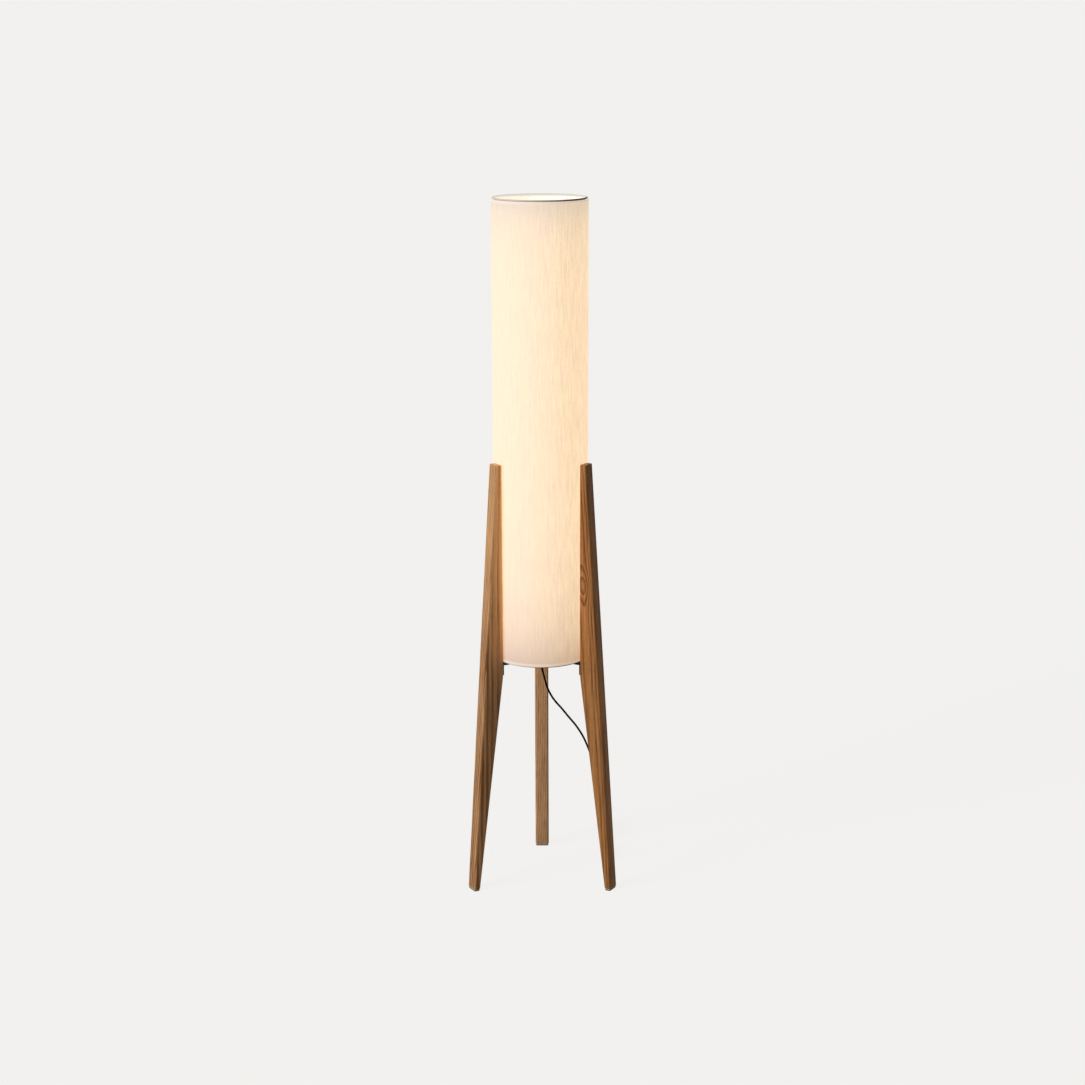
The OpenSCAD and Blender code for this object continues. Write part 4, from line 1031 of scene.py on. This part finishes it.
# ---- Driver can ----
# White powder-coated can on the hub. It holds the driver's board on three brass standoffs, with its
# transformer, capacitors and terminal block, and the wires between the cord and the column.
white_coat = moulded("white_powder_coat", (0.78, 0.76, 0.72), 0.5, grain=0.0010, relief=0.00006)
finish_node(white_coat, "driver_can")
finish_node(brass, "board_standoffs", "switch_contacts")
for name, colour, roughness, grain, relief, *parts in (
        ("circuit_board", (0.045, 0.17, 0.085), 0.35, 0.0016, 0.00003, "driver_board"),
        ("moulded_parts", (0.05, 0.052, 0.058), 0.42, 0.0012, 0.00002, "driver_parts"),
        ("terminal_plastic", (0.76, 0.74, 0.68), 0.45, 0.0009, 0.00002, "terminal_block"),
        ("brown_insulation", (0.115, 0.060, 0.030), 0.45, 0.0010, 0.00001, "mains_leads", "switch_leads"),
        ("red_insulation", (0.30, 0.035, 0.03), 0.45, 0.0010, 0.00001, "led_leads")):
    finish_node(moulded(name, colour, roughness, grain=grain, relief=relief), *parts)


# ---- Light column ----
# Three-sided aluminium profile that stands in a turned flange on the can. Each face carries a strip
# of small warm lamps, and an opal tube round it spreads their light.
def brushed_group():
    """Fine lines drawn along a metal part, by extrusion or turning."""
    tree, given, out = start_group("drawn_lines", {
        "Vector": "Vector", "Line Scale": 1800.0, "Roughness": 0.35}, ("Roughness", "Height"))
    lines = noise(tree, scaled(tree, given["Vector"], (1.0, 1.0, 0.012)), given["Line Scale"], 2.0)
    feed(tree, out, {"Roughness": maths("ADD", given["Roughness"], (lines - 0.5) * 0.25, clamp=True),
                     "Height": lines})
    return tree


drawn_lines = brushed_group()


def drawn_metal(name, colour, roughness):
    """Bare metal with fine lines drawn along it."""
    material, tree, shader = start_material(name)
    lines = grouped(tree, drawn_lines, {"Vector": object_place(tree), "Roughness": roughness})
    feed(tree, shader, {
        "Base Color": mixed(tree, lines["Height"], tinted(colour, 0.9), tinted(colour)),
        "Roughness": lines["Roughness"], "Normal": bump(tree, lines["Height"], 0.00001), "Metallic": 1.0})
    return material


turned_aluminium = moulded("turned_aluminium", (0.78, 0.78, 0.79), 0.36, grain=0.0014, relief=0.00001,
                           metallic=1.0)
finish_node(drawn_metal("drawn_aluminium", (0.76, 0.76, 0.77), 0.34), "column_profile")
finish_node(turned_aluminium, "column_flange")
finish_node(moulded("grey_plastic", (0.045, 0.047, 0.05), 0.5), "column_plug")
flange_top, tube_top, tube_r, tube_wall = 0.551, 1.441, 0.030, 0.002
column_apothem, strip_t = 0.008, 0.0014
strip_low, strip_high = flange_top + 0.008 + 0.012, tube_top - 0.006 - 0.012


def chip_tree():
    """A row of small lamps up a strip, repeated on the faces of the column."""
    tree, given, out = bare_tree("lamp_chips", {
        "Count": 60, "Pitch": 0.0143, "Chip Width": 0.005, "Chip Height": 0.0045, "Chip Depth": 0.0008})
    row = place(tree, "GeometryNodeMeshLine", {
        "Count": given["Count"], "Offset": xyz(tree, {"Z": given["Pitch"]})}, mode="OFFSET")
    chip = place(tree, "GeometryNodeMeshCube", {"Size": xyz(tree, {
        "X": given["Chip Width"], "Y": given["Chip Depth"], "Z": given["Chip Height"]})})
    chips = place(tree, "GeometryNodeInstanceOnPoints", {"Points": row[0], "Instance": chip[0]})
    return finish_tree(tree, given, out, chips[0], turn_to_facing(tree, "Y", pivot_axis="Z"))


def glowing(name, colour, glow, strength, roughness, coat=0.0):
    """A plastic that gives light."""
    material, tree, shader = start_material(name)
    skin = skin_on(tree, {"Roughness": roughness, "Unevenness": 0.06})
    feed(tree, shader, {
        "Base Color": mixed(tree, skin["Height"], tinted(colour, 0.94), tinted(colour)),
        "Roughness": skin["Roughness"], "Emission Color": tinted(glow), "Emission Strength": strength,
        "Coat Weight": coat})
    return material


strip_white = moulded("strip_board", (0.80, 0.78, 0.72), 0.45, grain=0.0008, relief=0.00001)
finish_node(strip_white, "led_strips")
chip_light = glowing("chip_light", (0.95, 0.86, 0.55), (1.0, 0.82, 0.46), 4.0, 0.3)
chip_count = 60
pitch = (strip_high - strip_low) / chip_count
chips = grow("lamp_chip_rows", chip_tree(), {"Count": chip_count, "Pitch": pitch, "Finish": chip_light},
             [lamp_place(column_apothem + 0.0001 + strip_t + 0.0004, az, strip_low + pitch / 2)
              for az in between],
             [outwards(az) for az in between])
dress(chips, chip_light)
opal = glowing("opal_acrylic", (0.90, 0.88, 0.82), (1.0, 0.88, 0.62), 1.0, 0.25, coat=0.4)
hoop_piece("opal_tube", "diffuser_tube", opal, tube_r - tube_wall / 2, tube_wall, flange_top,
           tube_top, 0.0004)


# ---- Column's cap ----
# Turned aluminium cap that closes the opal tube, held by one screw into the profile's plug.
cap_top = tube_top + plate_t
cap_r = tube_r + 0.001
cap = turned("column_cap", [
    (0, tube_top), (0.0258, tube_top), (0.0258, tube_top - 0.006), (0.0278, tube_top - 0.006),
    (0.0278, tube_top), (cap_r - 0.0003, tube_top), (cap_r, tube_top + 0.0003), (cap_r, cap_top - 0.0010),
    (cap_r - 0.0003, cap_top - 0.0003), (cap_r - 0.0010, cap_top), (0, cap_top)], (0, axis_y), segments=96)
dress(cap, turned_aluminium, "tube_cap")
screws("cap_screw_set", "cap_screw", "zinc_screw", zinc, [(0, axis_y, cap_top)], [(0, 0, 1)],
       0.00275, 0.002, 0.0015, 0.013)


# ---- Floor, backdrop and lights ----
# Plain pale floor under a pale world. Soft light falls from the left and a little from the front,
# 25 degrees above the floor, and the world fills in the rest. The eye sees both of them even.
floor_mesh = bpy.data.meshes.new("floor")
floor_mesh.from_pydata([(-60, -20, 0), (60, -20, 0), (60, 200, 0), (-60, 200, 0)], [], [(0, 1, 2, 3)])
floor = bpy.data.objects.new("floor", floor_mesh)
scene.collection.objects.link(floor)
floor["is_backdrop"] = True
backdrop_colour, plain_colour = (0.887, 0.879, 0.863, 1), (0.9725, 0.9641, 0.9462, 1)
plain_share, fill_light = 0.88, 0.16
floor_paint, tree, shader = start_material("floor_paint")
floor_mesh.materials.append(floor_paint)
feed(tree, shader, {"Base Color": (0.52, 0.51, 0.50, 1), "Roughness": 0.9, "Specular IOR Level": 0.0})


def seen_share(tree):
    """1 for what the eye sees straight, in a mirror or through glass, and 0 for light thrown back."""
    path = place(tree, "ShaderNodeLightPath")
    return maths("MAXIMUM", path["Is Camera Ray"],
                 maths("MAXIMUM", path["Is Glossy Ray"], path["Is Transmission Ray"]))


plain = place(tree, "ShaderNodeEmission", {"Color": plain_colour, "Strength": 1.0})[0]
both = place(tree, "ShaderNodeMixShader", {
    0: seen_share(tree) * plain_share, 1: Outputs(tree.nodes["Principled BSDF"])[0], 2: plain})
feed(tree, tree.nodes["Material Output"].inputs, {"Surface": both[0]})

world = bpy.data.worlds.new("studio")
scene.world = world
world.use_nodes = True
tree = world.node_tree
feed(tree, tree.nodes["Background"].inputs, {
    "Color": backdrop_colour, "Strength": fill_light + seen_share(tree) * (1 - fill_light)})

key_light = bpy.data.lights.new("window_side", "SUN")
key_light.energy, key_light.angle = 2.5, radians(25)
key = bpy.data.objects.new("window_side", key_light)
scene.collection.objects.link(key)
key.rotation_euler = Vector(key_way).to_track_quat("-Z", "Y").to_euler()
scene.view_settings.view_transform = "Standard"

sizes = {"cad": [list(c) for c in cad_box], "visual": [list(c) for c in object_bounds()]}
